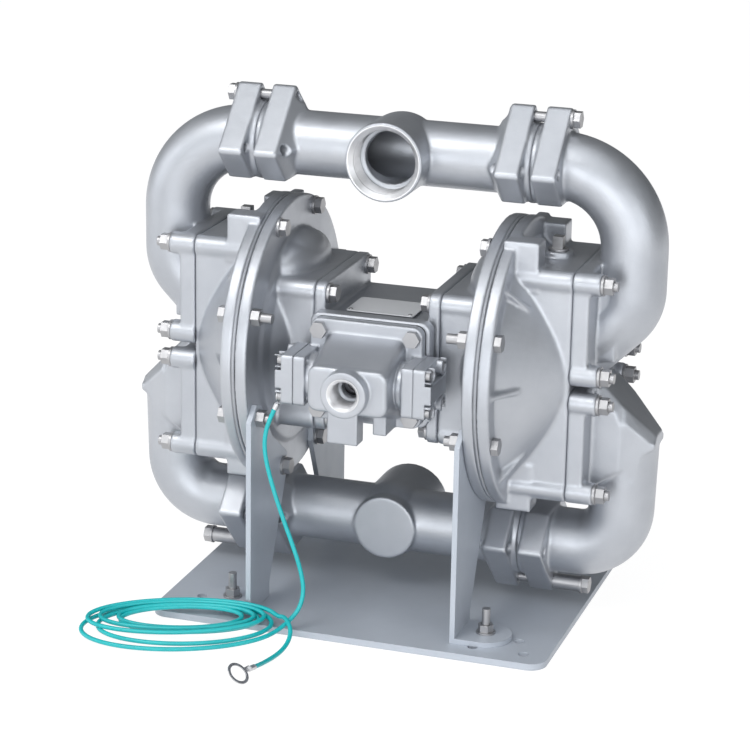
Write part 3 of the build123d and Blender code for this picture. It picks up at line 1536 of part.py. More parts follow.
pieces = {
    "base_plate": base_plate,
    "foot_studs": foot_studs,
    "foot_washers": foot_washers,
    "foot_nuts": foot_nuts,
    "leg_front_left": leg_front_left,
    "leg_front_right": leg_front_right,
    "leg_rear_left": leg_rear_left,
    "leg_rear_right": leg_rear_right,
    "inner_chamber_left": inner_chamber_left,
    "inner_chamber_right": inner_chamber_right,
    "outer_chamber_left": outer_chamber_left,
    "outer_chamber_right": outer_chamber_right,
    "rim_bolts": rim_bolts,
    "rim_nuts": rim_nuts,
    "lug_screws": lug_screws,
    "diaphragm_left": diaphragm_left,
    "diaphragm_right": diaphragm_right,
    "diaphragm_rod": diaphragm_rod,
    "inner_plates": inner_plates,
    "outer_plates": outer_plates,
    "rod_nuts": rod_nuts,
    "bushings": bushings,
    "centre_bracket": centre_bracket,
    "bracket_capscrews": bracket_capscrews,
    "pilot_spool": pilot_spool,
    "plungers": plungers,
    "valve_seats": valve_seats,
    "flap_upper_left": flap_upper_left,
    "flap_upper_right": flap_upper_right,
    "flap_lower_left": flap_lower_left,
    "flap_lower_right": flap_lower_right,
    "flap_pins": flap_pins,
    "elbow_upper_left": elbow_upper_left,
    "elbow_upper_right": elbow_upper_right,
    "elbow_lower_left": elbow_lower_left,
    "elbow_lower_right": elbow_lower_right,
    "elbow_studs": elbow_studs,
    "elbow_washers": elbow_washers,
    "elbow_nuts": elbow_nuts,
    "upper_manifold": upper_manifold,
    "lower_manifold": lower_manifold,
    "manifold_orings": manifold_orings,
    "joint_bolts": upper_joint_bolts,
    "long_joint_bolts": lower_joint_bolts,
    "spacer_sleeves": spacer_sleeves,
    "pipe_plugs": pipe_plugs,
    "air_valve_body": air_valve_body,
    "valve_gasket": valve_gasket,
    "valve_bolts": valve_bolts,
    "valve_sleeve": valve_sleeve,
    "main_spool": main_spool,
    "bumpers": bumpers,
    "end_cap_left": end_cap_left,
    "end_cap_right": end_cap_right,
    "end_cap_screws": end_cap_screws,
    "ground_terminal_upper": ground_terminal_upper,
    "ground_cable_drop": ground_cable_drop,
    "ground_cable_coil": ground_cable_coil,
    "ground_cable_tail": ground_cable_tail,
    "ground_terminal_loose": ground_terminal_loose,
}

for name, piece in pieces.items():
    piece.part.label = name
    export_step(piece.part, "parts/" + name + ".step")
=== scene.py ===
import json
import math

import bmesh
import bpy
from mathutils import Matrix, Vector


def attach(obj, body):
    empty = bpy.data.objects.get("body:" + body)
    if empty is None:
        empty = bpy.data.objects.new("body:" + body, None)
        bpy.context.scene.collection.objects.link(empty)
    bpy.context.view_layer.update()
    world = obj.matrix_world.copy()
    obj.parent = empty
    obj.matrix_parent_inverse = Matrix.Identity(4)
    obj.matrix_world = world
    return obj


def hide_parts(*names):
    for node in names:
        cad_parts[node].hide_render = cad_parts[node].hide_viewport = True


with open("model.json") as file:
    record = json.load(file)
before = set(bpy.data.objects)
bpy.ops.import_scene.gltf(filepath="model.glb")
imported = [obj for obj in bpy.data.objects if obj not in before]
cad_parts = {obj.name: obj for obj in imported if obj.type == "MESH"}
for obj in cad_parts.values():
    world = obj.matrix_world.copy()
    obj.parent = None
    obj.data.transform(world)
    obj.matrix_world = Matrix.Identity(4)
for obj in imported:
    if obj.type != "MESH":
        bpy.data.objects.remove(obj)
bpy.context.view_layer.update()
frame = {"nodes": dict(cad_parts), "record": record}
MM = 0.001
PUMP_HEIGHT = 0.244


# Camera solved from the photograph: angles in degrees, lengths in metres
YAW = 18.1126
PITCH = 17.3236
ROLL = 1.0100
DISTANCE = 2.50567
TARGET = Vector((-0.02232, 0.0, PUMP_HEIGHT - 0.03204))
FOCAL_PIXELS = 2621.995
IMAGE_SIZE = 750
SENSOR_WIDTH = 36.0


def add_camera():
    yaw = math.radians(YAW)
    pitch = math.radians(PITCH)
    roll = math.radians(ROLL)
    look = Vector(
        (
            -math.sin(yaw) * math.cos(pitch),
            math.cos(yaw) * math.cos(pitch),
            -math.sin(pitch),
        )
    )
    right = Vector((math.cos(yaw), math.sin(yaw), 0.0))
    up = right.cross(look)
    right_rolled = right * math.cos(roll) + up * math.sin(roll)
    up_rolled = up * math.cos(roll) - right * math.sin(roll)
    data = bpy.data.cameras.new("camera")
    data.sensor_width = SENSOR_WIDTH
    data.sensor_fit = "HORIZONTAL"
    data.lens = FOCAL_PIXELS * SENSOR_WIDTH / IMAGE_SIZE
    data.clip_end = 50.0
    camera = bpy.data.objects.new("camera", data)
    bpy.context.collection.objects.link(camera)
    place = TARGET - look * DISTANCE
    turn = Matrix((right_rolled, up_rolled, -look)).transposed()
    camera.matrix_world = Matrix.Translation(place) @ turn.to_4x4()
    bpy.context.scene.camera = camera


add_camera()


# Node helpers for materials
class Shader:
    """A small wrapper that keeps material code short."""

    def __init__(self, name):
        self.material = bpy.data.materials.new(name)
        self.material.use_nodes = True
        self.tree = self.material.node_tree
        self.surface = self.tree.nodes["Principled BSDF"]

    def node(self, kind, **values):
        node = self.tree.nodes.new(kind)
        for key, value in values.items():
            if key in node.inputs:
                node.inputs[key].default_value = value
            else:
                setattr(node, key, value)
        return node

    def link(self, out_socket, in_socket):
        self.tree.links.new(out_socket, in_socket)

    def set(self, **values):
        for key, value in values.items():
            self.surface.inputs[key.replace("_", " ")].default_value = value

    def ramp(self, source, stops):
        ramp = self.node("ShaderNodeValToRGB")
        elements = ramp.color_ramp.elements
        while len(elements) < len(stops):
            elements.new(0.5)
        for element, (position, colour) in zip(elements, stops):
            element.position = position
            element.color = (*colour, 1.0)
        self.link(source, ramp.inputs["Fac"])
        return ramp.outputs["Color"]

    def noise(self, scale, detail=3.0, roughness=0.55):
        if not hasattr(self, "coordinates"):
            self.coordinates = self.node("ShaderNodeNewGeometry").outputs["Position"]
        noise = self.node("ShaderNodeTexNoise", Scale=scale, Detail=detail, Roughness=roughness)
        self.link(self.coordinates, noise.inputs["Vector"])
        return noise.outputs["Fac"]

    def map_range(self, source, low, high, to_low, to_high):
        node = self.node("ShaderNodeMapRange")
        for index, value in enumerate((low, high, to_low, to_high), 1):
            node.inputs[index].default_value = value
        self.link(source, node.inputs[0])
        return node.outputs[0]

    def bump(self, heights, strength, distance, normal=None):
        bump = self.node("ShaderNodeBump", Strength=strength, Distance=distance)
        self.link(heights, bump.inputs["Height"])
        if normal is not None:
            self.link(normal, bump.inputs["Normal"])
        return bump.outputs["Normal"]

    def rounded(self, radius):
        bevel = self.node("ShaderNodeBevel", Radius=radius)
        bevel.samples = 4
        return bevel.outputs["Normal"]


def grey(level, blue=0.0):
    return (level - blue * 0.5, level, level + blue)


def cast_metal(name, level, rough, grain, bevel):
    """Bead-blasted casting: fine grain, faint blotches and soft edges."""
    s = Shader(name)
    s.set(Metallic=0.82, Specular_IOR_Level=0.5)
    blotch = s.noise(14.0, 4.0, 0.6)
    colour = s.ramp(
        blotch,
        [(0.25, grey(level * 0.90, 0.036)), (0.75, grey(level * 1.06, 0.034))],
    )
    s.link(colour, s.surface.inputs["Base Color"])
    s.link(s.map_range(s.noise(35.0, 3.0), 0.3, 0.7, rough - 0.05, rough + 0.06),
           s.surface.inputs["Roughness"])
    normal = s.rounded(bevel)
    normal = s.bump(s.noise(160.0, 2.0), 0.10, 0.0012, normal)
    normal = s.bump(s.noise(1100.0, 3.0, 0.75), grain, 0.0003, normal)
    s.link(normal, s.surface.inputs["Normal"])
    return s.material


def turned_metal(name, level, rough, warm=0.0):
    """Machined face: bright, with fine tool marks."""
    s = Shader(name)
    s.set(Metallic=1.0)
    colour = s.ramp(
        s.noise(40.0, 3.0),
        [(0.3, (level + warm, level, level + 0.012 - warm)),
         (0.7, (level * 1.06 + warm, level * 1.06, level * 1.06 + 0.012 - warm))],
    )
    s.link(colour, s.surface.inputs["Base Color"])
    s.link(s.map_range(s.noise(220.0, 2.0), 0.3, 0.7, rough - 0.05, rough + 0.07),
           s.surface.inputs["Roughness"])
    normal = s.rounded(0.0006)
    normal = s.bump(s.noise(700.0, 2.0), 0.06, 0.0002, normal)
    s.link(normal, s.surface.inputs["Normal"])
    return s.material


def painted_metal(name, colour, rough):
    """Satin paint with a faint orange peel and slight wear in its tone."""
    s = Shader(name)
    s.set(Metallic=0.25, Coat_Weight=0.12, Coat_Roughness=0.3)
    tone = s.ramp(
        s.noise(9.0, 4.0),
        [(0.25, tuple(c * 0.93 for c in colour)), (0.75, tuple(c * 1.05 for c in colour))],
    )
    s.link(tone, s.surface.inputs["Base Color"])
    s.link(s.map_range(s.noise(60.0, 3.0), 0.3, 0.7, rough - 0.04, rough + 0.06),
           s.surface.inputs["Roughness"])
    normal = s.rounded(0.0008)
    normal = s.bump(s.noise(420.0, 2.0), 0.08, 0.0004, normal)
    s.link(normal, s.surface.inputs["Normal"])
    return s.material


def rubber(name, colour, rough):
    """Matt rubber with a mottled tone."""
    s = Shader(name)
    s.set(Metallic=0.0, Specular_IOR_Level=0.35)
    tone = s.ramp(
        s.noise(60.0, 3.0),
        [(0.3, tuple(c * 0.8 for c in colour)), (0.7, tuple(c * 1.2 for c in colour))],
    )
    s.link(tone, s.surface.inputs["Base Color"])
    s.link(s.map_range(s.noise(90.0), 0.3, 0.7, rough - 0.06, rough + 0.06),
           s.surface.inputs["Roughness"])
    s.link(s.bump(s.noise(500.0), 0.12, 0.0004), s.surface.inputs["Normal"])
    return s.material


def cable_sheath(name):
    """Extruded plastic sheath: saturated, soft gloss, faint waviness."""
    s = Shader(name)
    s.set(Metallic=0.0, Coat_Weight=0.25, Coat_Roughness=0.25, Specular_IOR_Level=0.5)
    tone = s.ramp(
        s.noise(30.0, 2.0),
        [(0.3, (0.0, 0.40, 0.42)), (0.7, (0.004, 0.47, 0.48))],
    )
    s.link(tone, s.surface.inputs["Base Color"])
    s.link(s.map_range(s.noise(120.0), 0.3, 0.7, 0.34, 0.46), s.surface.inputs["Roughness"])
    s.link(s.bump(s.noise(260.0, 2.0), 0.10, 0.0004), s.surface.inputs["Normal"])
    return s.material


materials = {
    "cast_aluminium": cast_metal("cast_aluminium", level=0.50, rough=0.40, grain=0.45, bevel=0.0022),
    "machined_aluminium": turned_metal("machined_aluminium", level=0.72, rough=0.30),
    "painted_grey": painted_metal("painted_grey", (0.47, 0.505, 0.56), rough=0.45),
    "zinc_steel": turned_metal("zinc_steel", level=0.42, rough=0.44, warm=0.002),
    "stainless_steel": turned_metal("stainless_steel", level=0.62, rough=0.22),
    "bronze": turned_metal("bronze", level=0.48, rough=0.32, warm=0.10),
    "rubber": rubber("rubber", (0.03, 0.03, 0.033), rough=0.6),
    "cable_green": cable_sheath("cable_green"),
    "tinned_copper": turned_metal("tinned_copper", level=0.60, rough=0.34),
    "mouth": turned_metal("machined_mouth", level=0.74, rough=0.34),
    "plate": painted_metal("blank_plate", (0.70, 0.71, 0.73), rough=0.40),
    # Near-black steel for the valve sleeve: painted shade of the dark bore behind the air inlet
    "bore_shade_steel": turned_metal("sleeve_bore_shade", level=0.16, rough=0.45),
}

slot_of_node = {part["node"]: part["material_slot"] for part in frame["record"]["subparts"]}
body_of_node = {}
for body, nodes in frame["record"]["behaviour"]["bodies"].items():
    for node in nodes:
        body_of_node[node] = body


def dress(obj, material):
    """Gives every material slot of an object one material."""
    if not obj.data.materials:
        obj.data.materials.append(material)
    for index in range(len(obj.data.materials)):
        obj.data.materials[index] = material
    for index in range(len(obj.material_slots)):
        obj.material_slots[index].link = "DATA"
        obj.material_slots[index].material = material


for name, obj in frame["nodes"].items():
    dress(obj, materials[slot_of_node[name]])
# The valve sleeve, seen down the air inlet, takes the near-black steel as painted shade of the bore
dress(frame["nodes"]["valve_sleeve"], materials["bore_shade_steel"])


# Simple closed shapes that castings gain or lose before their edges are rounded
def at_pump(x, y, z):
    """A point in millimetres from the middle of the pump, in metres."""
    return Vector((x * MM, y * MM, z * MM + PUMP_HEIGHT))


def hull(points, side=1):
    """Convex solid round some points, mirrored to the left where side is -1."""
    shape = bmesh.new()
    for x, y, z in points:
        shape.verts.new(at_pump(side * x, y, z))
    result = bmesh.ops.convex_hull(shape, input=shape.verts)
    spare = [e for e in result["geom_interior"] if isinstance(e, bmesh.types.BMVert)]
    bmesh.ops.delete(shape, geom=spare, context="VERTS")
    bmesh.ops.recalc_face_normals(shape, faces=shape.faces)
    return shape


def block(low, high, side=1):
    """Box between two corners."""
    corners = [
        (x, y, z) for x in (low[0], high[0]) for y in (low[1], high[1]) for z in (low[2], high[2])
    ]
    return hull(corners, side)


def lathe(profile, centre, along, closed=True, steps=96):
    """Ring turned about an axis: profile has (distance along it, radius) in millimetres."""
    shape = bmesh.new()
    rings = []
    for i in range(steps):
        angle = 2 * math.pi * i / steps
        ring = []
        for travel, radius in profile:
            a = radius * math.cos(angle)
            b = radius * math.sin(angle)
            offset = (travel, a, b) if along == "X" else (a, travel, b)
            ring.append(shape.verts.new(at_pump(*[c + o for c, o in zip(centre, offset)])))
        rings.append(ring)
    count = len(profile) if closed else len(profile) - 1
    for i in range(steps):
        here = rings[i]
        after = rings[(i + 1) % steps]
        for j in range(count):
            k = (j + 1) % len(profile)
            shape.faces.new((here[j], here[k], after[k], after[j]))
    bmesh.ops.recalc_face_normals(shape, faces=shape.faces)
    return shape


def take(shape, name):
    """Turns a built shape into an object and frees the builder."""
    mesh = bpy.data.meshes.new(name)
    shape.to_mesh(mesh)
    shape.free()
    piece = bpy.data.objects.new(name, mesh)
    bpy.context.collection.objects.link(piece)
    return piece


# Castings: the solid's own shape with rounded edges and filleted corners all over
MERGE_DISTANCE = 0.00001


def casting(node, voxel, rounds, gains, losses):
    """Stands for a node: cuts the losses, joins the gains, then remeshes and smooths the whole."""
    source = frame["nodes"][node]
    shape = bmesh.new()
    shape.from_mesh(source.data)
    bmesh.ops.remove_doubles(shape, verts=shape.verts, dist=MERGE_DISTANCE)
    piece = take(shape, node + "_casting")
    for loss in losses:
        cutter = take(loss, "cutter")
        cut = piece.modifiers.new("cut", "BOOLEAN")
        cut.operation = "DIFFERENCE"
        cut.solver = "EXACT"
        cut.object = cutter
        graph = bpy.context.evaluated_depsgraph_get()
        piece.data = bpy.data.meshes.new_from_object(piece.evaluated_get(graph))
        piece.modifiers.clear()
        bpy.data.objects.remove(cutter)
    if gains:
        shape = bmesh.new()
        shape.from_mesh(piece.data)
        for gain in gains:
            part = bpy.data.meshes.new("gain")
            gain.to_mesh(part)
            gain.free()
            shape.from_mesh(part)
            bpy.data.meshes.remove(part)
        shape.to_mesh(piece.data)
        shape.free()
    remesh = piece.modifiers.new("remesh", "REMESH")
    remesh.mode = "VOXEL"
    remesh.voxel_size = voxel
    smooth = piece.modifiers.new("smooth", "SMOOTH")
    smooth.factor = 0.5
    smooth.iterations = rounds
    graph = bpy.context.evaluated_depsgraph_get()
    shaped = bpy.data.meshes.new_from_object(piece.evaluated_get(graph))
    piece.modifiers.clear()
    piece.data = shaped
    for polygon in shaped.polygons:
        polygon.use_smooth = True
    dress(piece, materials[slot_of_node[node]])
    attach(piece, body_of_node[node])
    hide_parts(node)


# Wedge of a discharge elbow: it narrows towards its end and its roof edges are bevelled
WEDGE_ROOF = 200.0
WEDGE_REACH = 256.5
WEDGE_HALF = 33.0
WEDGE_STRAIGHT = 226.0
WEDGE_END_HALF = 19.0
WEDGE_BEVEL = 8.0
WEDGE_ROOF_START = 207.5
WEDGE_OVERCUT = 2
SIDE_CUTTER_REACH = 42
SIDE_CUTTER_HEIGHTS = (-98, -15)
# Corners of a bevel's cutter from the bevel's inner line: distance aside and height over the roof
BEVEL_CUTTER = ((-8, 8), (12, -12), (12, 8))
# Both ends of the block that fills the wedge: place along X and lowest point
WEDGE_BLOCK_ENDS = ((229.0, -80.0), (WEDGE_REACH, -66.0))
SLOPE = math.sqrt(0.5)


def roof_point(x, y, height):
    """A point some way above the sloping roof, over its line at x."""
    return (x + height * SLOPE, y, WEDGE_ROOF - x + height * SLOPE)


def wedge_half(x):
    """Half of the wedge's width at x."""
    narrowing = (WEDGE_HALF - WEDGE_END_HALF) / (WEDGE_REACH - WEDGE_STRAIGHT)
    return WEDGE_HALF - max(0.0, x - WEDGE_STRAIGHT) * narrowing


def wedge_losses(side):
    """Cutters that narrow the wedge and bevel the edges of its roof."""
    losses = []
    for face in (-1, 1):
        beyond = WEDGE_REACH + WEDGE_OVERCUT
        plan = [
            (WEDGE_STRAIGHT, WEDGE_HALF),
            (beyond, wedge_half(beyond)),
            (beyond, SIDE_CUTTER_REACH),
            (WEDGE_STRAIGHT, SIDE_CUTTER_REACH),
        ]
        losses.append(hull([(x, face * y, z) for x, y in plan for z in SIDE_CUTTER_HEIGHTS], side))
        for start, end in ((WEDGE_ROOF_START, WEDGE_STRAIGHT), (WEDGE_STRAIGHT, beyond)):
            corners = []
            for x in (start, end):
                edge = wedge_half(x) - WEDGE_BEVEL
                for aside, height in BEVEL_CUTTER:
                    corners.append(roof_point(x, face * (edge + aside), height))
            losses.append(hull(corners, side))
    return losses


def wedge_end(side):
    """Block that fills the wedge out to its narrowed end."""
    corners = []
    for x, low in WEDGE_BLOCK_ENDS:
        for face in (-1, 1):
            half = wedge_half(x)
            corners.append(roof_point(x, face * (half - WEDGE_BEVEL), 0))
            corners.append((x, face * half, WEDGE_ROOF - x - WEDGE_BEVEL / SLOPE))
            corners.append((x, face * half, low))
    corners = [(min(x, WEDGE_REACH), y, z) for x, y, z in corners]
    return hull(corners, side)


# Inner chamber: flush arm sides and the bulge of the dome above the arm
ARM_HALF_WIDTH = 66.5
ARM_HALF_HEIGHT = 62.5
ARM_SIDE_INSIDE = 59.0
ARM_START = 61.0
ARM_END_AT_MIDDLE = 82.0
ARM_END_AT_EDGES = 99.5
DOME_START = 64.0
DOME_START_RADIUS = 42.0
DOME_FLARE = 1.266
DOME_WIDEST = 99.0
BULGE_SINK = 2.0
BULGE_END = 104.0
# Each swelling: middle along X, middle along Z, radius and half length along Y
swellings = [(99.0, 82.0, 23.0, 42.0), (101.0, 76.0, 27.0, 56.0)]


def dome_radius(x):
    """Radius of the chamber's dome at x."""
    return min(DOME_START_RADIUS + (x - DOME_START) * DOME_FLARE, DOME_WIDEST)


def bulge(side, middle_x, middle_z, radius, half_length):
    """Ellipsoid whose inner part is pushed out to just under the dome's surface."""
    shape = bmesh.new()
    bmesh.ops.create_uvsphere(shape, u_segments=64, v_segments=32, radius=1.0)
    for vertex in shape.verts:
        x = min(middle_x + radius * vertex.co.x, BULGE_END)
        y = half_length * vertex.co.y
        z = middle_z + radius * vertex.co.z
        least = dome_radius(x) - BULGE_SINK
        reach = math.hypot(y, z)
        if reach < least:
            y *= least / reach
            z *= least / reach
        vertex.co = at_pump(side * x, y, z)
    bmesh.ops.recalc_face_normals(shape, faces=shape.faces)
    return shape


def arm_sides(side):
    """Walls that bring both sides of the arm out flush, each in an upper and a lower half."""
    sides = []
    for face in (-1, 1):
        for half in (-1, 1):
            edge = half * ARM_HALF_HEIGHT
            corners = []
            for y in (ARM_SIDE_INSIDE, ARM_HALF_WIDTH):
                corners += [(ARM_START, face * y, 0.0), (ARM_END_AT_MIDDLE, face * y, 0.0)]
                corners += [(ARM_START, face * y, edge), (ARM_END_AT_EDGES, face * y, edge)]
            sides.append(hull(corners, side))
    return sides


# Outer chamber: flat top and bottom between the stud bosses, and a low rear lug
FLAT_HALF_WIDTH = 52.5
FLAT_END = 183.0
# Each flat: start along X, lowest and highest point
chamber_flats = [(129.0, 91.5, 103.1), (153.0, -114.8, -103.3)]
REAR_LUG_LOW = (128.7, 30, 124.5)
REAR_LUG_HIGH = (152, 68, 137)


def stud_flats(side):
    return [
        block((start, -FLAT_HALF_WIDTH, low), (FLAT_END, FLAT_HALF_WIDTH, high), side)
        for start, low, high in chamber_flats
    ]


# Round mouths and bosses in front, with their middles and faces in millimetres
PORT_AXIS = 188.5
PORT_FACE = -56.0
PORT_CHAMFER = 4.0
INLET_AXIS = -2.5
INLET_FACE = -161.0
INLET_CHAMFER = 2.0
BLANK_AXIS = -173.5
BLANK_FACE = -33
BLANK_CUTTER_FRONT = -50
BLANK_CUTTER_HALF = 45
VALVE_CENTRE = (0.0, -111.0, INLET_AXIS)
NECK_RADIUS = 19.8
COLLAR_RADIUS = 22.0
COLLAR_START = 40
COLLAR_END = 46


def circle(centre, radius, steps=96):
    """Points of a circle that faces the front."""
    x, y, z = centre
    angles = [2 * math.pi * i / steps for i in range(steps)]
    return [(x + radius * math.cos(a), y, z + radius * math.sin(a)) for a in angles]


def chamfer_cutter(axis_z, face, depth, lead, radius):
    """Cone that opens a mouth, from a short lead in front of its face down to the given depth."""
    wide = circle((0, face - lead, axis_z), radius + lead + depth)
    narrow = circle((0, face + depth, axis_z), radius)
    return hull(wide + narrow)


def neck_collar(side):
    """Ring round the neck between the valve's box and its end flange."""
    near = side * COLLAR_START
    far = side * COLLAR_END
    ring = [(near, NECK_RADIUS), (far, NECK_RADIUS), (far, COLLAR_RADIUS), (near, COLLAR_RADIUS)]
    return lathe(ring, VALVE_CENTRE, "X")


port_cutter = chamfer_cutter(PORT_AXIS, PORT_FACE, PORT_CHAMFER, lead=1.0, radius=30.2)
inlet_cutter = chamfer_cutter(INLET_AXIS, INLET_FACE, INLET_CHAMFER, lead=0.5, radius=13.1)
neck_collars = [neck_collar(side) for side in (-1, 1)]
blank_cutter = block(
    (-BLANK_CUTTER_HALF, BLANK_CUTTER_FRONT, BLANK_AXIS - BLANK_CUTTER_HALF),
    (BLANK_CUTTER_HALF, BLANK_FACE, BLANK_AXIS + BLANK_CUTTER_HALF),
)

SIDES = (("right", 1), ("left", -1))

# Each casting: voxel size, smoothing rounds, shapes it gains and shapes it loses
castings = {
    "upper_manifold": (0.0012, 5, [], [port_cutter]),
    "lower_manifold": (0.0012, 5, [], [blank_cutter]),
    "centre_bracket": (0.0012, 5, [], []),
    "air_valve_body": (0.0008, 6, neck_collars, [inlet_cutter]),
}
for tag, side in SIDES:
    rear_lug_top = block(REAR_LUG_LOW, REAR_LUG_HIGH, side)
    bulges = [bulge(side, *swelling) for swelling in swellings]
    castings["outer_chamber_" + tag] = (0.0014, 5, stud_flats(side), [rear_lug_top])
    castings["inner_chamber_" + tag] = (0.0014, 6, bulges + arm_sides(side), [])
    castings["elbow_upper_" + tag] = (0.0013, 6, [], [])
    castings["elbow_lower_" + tag] = (0.0013, 6, [wedge_end(side)], wedge_losses(side))
for node, (voxel, rounds, gains, losses) in castings.items():
    casting(node, voxel, rounds, gains, losses)


def trim(name, shape, body, material, smooth=True):
    """A small piece of its own that rides on a body."""
    piece = take(shape, name)
    for polygon in piece.data.polygons:
        polygon.use_smooth = smooth
    dress(piece, material)
    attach(piece, body)


# Machined mouths: a bright chamfer, then thread grooves down to the seat
MOUTH_LIP_HEIGHT = 0.15
MOUTH_LIP_WIDTH = 0.9
MOUTH_STANDOFF = 0.1
MOUTH_END_MARGIN = 0.3
ROOT_END_SHARE = 0.3
CREST_SHARE = 0.8


def mouth(name, axis_z, face, cone, radius, depth, pitch, crest):
    lip = face - MOUTH_LIP_HEIGHT
    root = radius - MOUTH_STANDOFF
    profile = [(lip, radius + cone + MOUTH_LIP_WIDTH), (lip, radius + cone), (face + cone, root)]
    turns = int((depth - cone) / pitch)
    for i in range(turns):
        start = face + cone + i * pitch
        profile.append((start + ROOT_END_SHARE * pitch, root))
        profile.append((start + CREST_SHARE * pitch, radius - crest))
    profile.append((face + depth - MOUTH_END_MARGIN, root))
    shape = lathe(profile, (0.0, 0.0, axis_z), "Y", closed=False, steps=128)
    bmesh.ops.reverse_faces(shape, faces=shape.faces)
    trim(name, shape, "pump_frame", materials["mouth"], smooth=False)


mouth(
    "upper_port_thread", PORT_AXIS, PORT_FACE, PORT_CHAMFER,
    radius=30.0, depth=23.5, pitch=2.2, crest=1.1,
)
mouth(
    "air_inlet_thread", INLET_AXIS, INLET_FACE, INLET_CHAMFER,
    radius=12.6, depth=23.0, pitch=1.8, crest=0.8,
)

# Lip of the outer chamber that closes the seam between each pair of rims
DIAPHRAGM_PLANE = 115.5
LIP_HALF_WIDTH = 1.68
LIP_INSIDE = 134.62
LIP_OUTSIDE = 135.35
for tag, side in SIDES:
    ring = [
        (-LIP_HALF_WIDTH, LIP_INSIDE),
        (LIP_HALF_WIDTH, LIP_INSIDE),
        (LIP_HALF_WIDTH, LIP_OUTSIDE),
        (-LIP_HALF_WIDTH, LIP_OUTSIDE),
    ]
    shape = lathe(ring, (side * DIAPHRAGM_PLANE, 0.0, 0.0), "X", steps=256)
    trim("rim_lip_" + tag, shape, "pump_frame", materials["cast_aluminium"])

# Bare data plate with its two drive pins, on top of the centre section
PLATE_SEAT = 44.0
PLATE_SINK = 0.1
PLATE_THICKNESS = 0.9
PLATE_CORNER_RADIUS = 3.0
PLATE_CORNER_STEP = 15
PIN_SIDES = 24
PIN_ROW = -46.0
# Each step of a pin's head: height above the plate's seat and radius
pin_steps = [(0.8, 2.2), (1.5, 1.8), (1.9, 1.0)]
plate_corners = []
for x, sign_x in ((-36.0, 1), (30.0, -1)):
    for y, sign_y in ((-50.0, 1), (-2.0, -1)):
        for degrees in range(0, 91, PLATE_CORNER_STEP):
            angle = math.radians(degrees)
            dx = PLATE_CORNER_RADIUS * (1 - math.cos(angle))
            dy = PLATE_CORNER_RADIUS * (1 - math.sin(angle))
            plate_corners.append((x + sign_x * dx, y + sign_y * dy))
plate_levels = (PLATE_SEAT - PLATE_SINK, PLATE_SEAT + PLATE_THICKNESS)
shape = hull([(x, y, z) for x, y in plate_corners for z in plate_levels])
trim("data_plate", shape, "pump_frame", materials["plate"], smooth=False)
for name, x in (("plate_pin_left", -32.0), ("plate_pin_right", 26.0)):
    pin = bmesh.new()
    rings = []
    for height, radius in pin_steps:
        ring = []
        for i in range(PIN_SIDES):
            angle = 2 * math.pi * i / PIN_SIDES
            across = x + radius * math.cos(angle)
            back = PIN_ROW + radius * math.sin(angle)
            ring.append(pin.verts.new(at_pump(across, back, PLATE_SEAT + height)))
        rings.append(ring)
    for low, high in zip(rings, rings[1:]):
        for i in range(PIN_SIDES):
            k = (i + 1) % PIN_SIDES
            pin.faces.new((low[i], low[k], high[k], high[i]))
    pin.faces.new(rings[-1])
    trim(name, pin, "pump_frame", materials["zinc_steel"])


# Ground cable: one smooth line from the upper terminal through the coil to the loose terminal.
# Its radius is in metres, its points in millimetres from the floor.
CABLE_RADIUS = 0.0021
drop_points = [
    (-76.5, -129.2, 210.5),
    (-81.0, -131.0, 199.5),
    (-84.3, -133.0, 186.0),
    (-84.0, -134.8, 170.5),
    (-79.0, -136.6, 151.0),
    (-71.5, -138.2, 129.0),
    (-62.5, -139.8, 106.5),
    (-53.0, -141.2, 84.0),
    (-45.0, -142.3, 62.5),
    (-41.0, -143.6, 43.5),
    (-42.4, -147.0, 29.5),
    (-47.0, -151.8, 19.4),
]
tail_points = [
    (-56.5, -156.4, 18.9),
    (-50.3, -162.2, 18.2),
    (-43.5, -171.0, 13.6),
    (-40.8, -183.0, 8.2),
    (-41.8, -195.5, 4.2),
    (-44.5, -209.0, 2.6),
    (-47.5, -222.5, 2.7),
    (-49.6, -235.0, 3.8),
    (-51.2, -245.5, 5.6),
]
# Each turn: left, right, front and back extent and its lift above the resting plane
coil_turns = [
    (-239.0, -56.0, -241.5, -137.0, 0.0),
    (-234.0, -64.0, -237.0, -139.0, 1.0),
    (-213.0, -80.0, -208.0, -144.0, 0.4),
    (-199.0, -96.0, -199.0, -149.0, 2.2),
    (-219.0, -84.0, -205.0, -145.0, 3.6),
    (-232.0, -74.0, -214.0, -141.0, 4.6),
    (-238.0, -60.0, -230.0, -138.0, 5.6),
]
POINTS_PER_TURN = 16
COIL_SKEW = 0.25
COIL_RISE = math.tan(math.radians(5.9))
COIL_FLOOR = -244.0
COIL_CLEARANCE = 0.3
LEAST_REACH = 3.0
FIRST_TURN = 0.02
LAST_TURN = 5.97


def coil_point(turn):
    """A point of the coil; turn counts from the right end, clockwise seen from above."""
    index = min(int(turn), len(coil_turns) - 2)
    share = turn - index
    left, right, front, back, lift = (
        a + (b - a) * share for a, b in zip(coil_turns[index], coil_turns[index + 1])
    )
    angle = 2 * math.pi * turn
    half_length = (right - left) / 2
    half_width = (back - front) / 2
    reach = math.sqrt(max(half_width**2 - (COIL_SKEW * half_length) ** 2, LEAST_REACH**2))
    x = (left + right) / 2 + half_length * math.cos(angle)
    y = (front + back) / 2 + COIL_SKEW * half_length * math.cos(angle) - reach * math.sin(angle)
    z = COIL_CLEARANCE + (y - COIL_FLOOR) * COIL_RISE + CABLE_RADIUS / MM + lift
    return (x, y, z)


coil_steps = int((LAST_TURN - FIRST_TURN) * POINTS_PER_TURN)
coil_points = [
    coil_point(FIRST_TURN + (LAST_TURN - FIRST_TURN) * i / coil_steps)
    for i in range(coil_steps + 1)
]
cable_points = drop_points + coil_points + tail_points


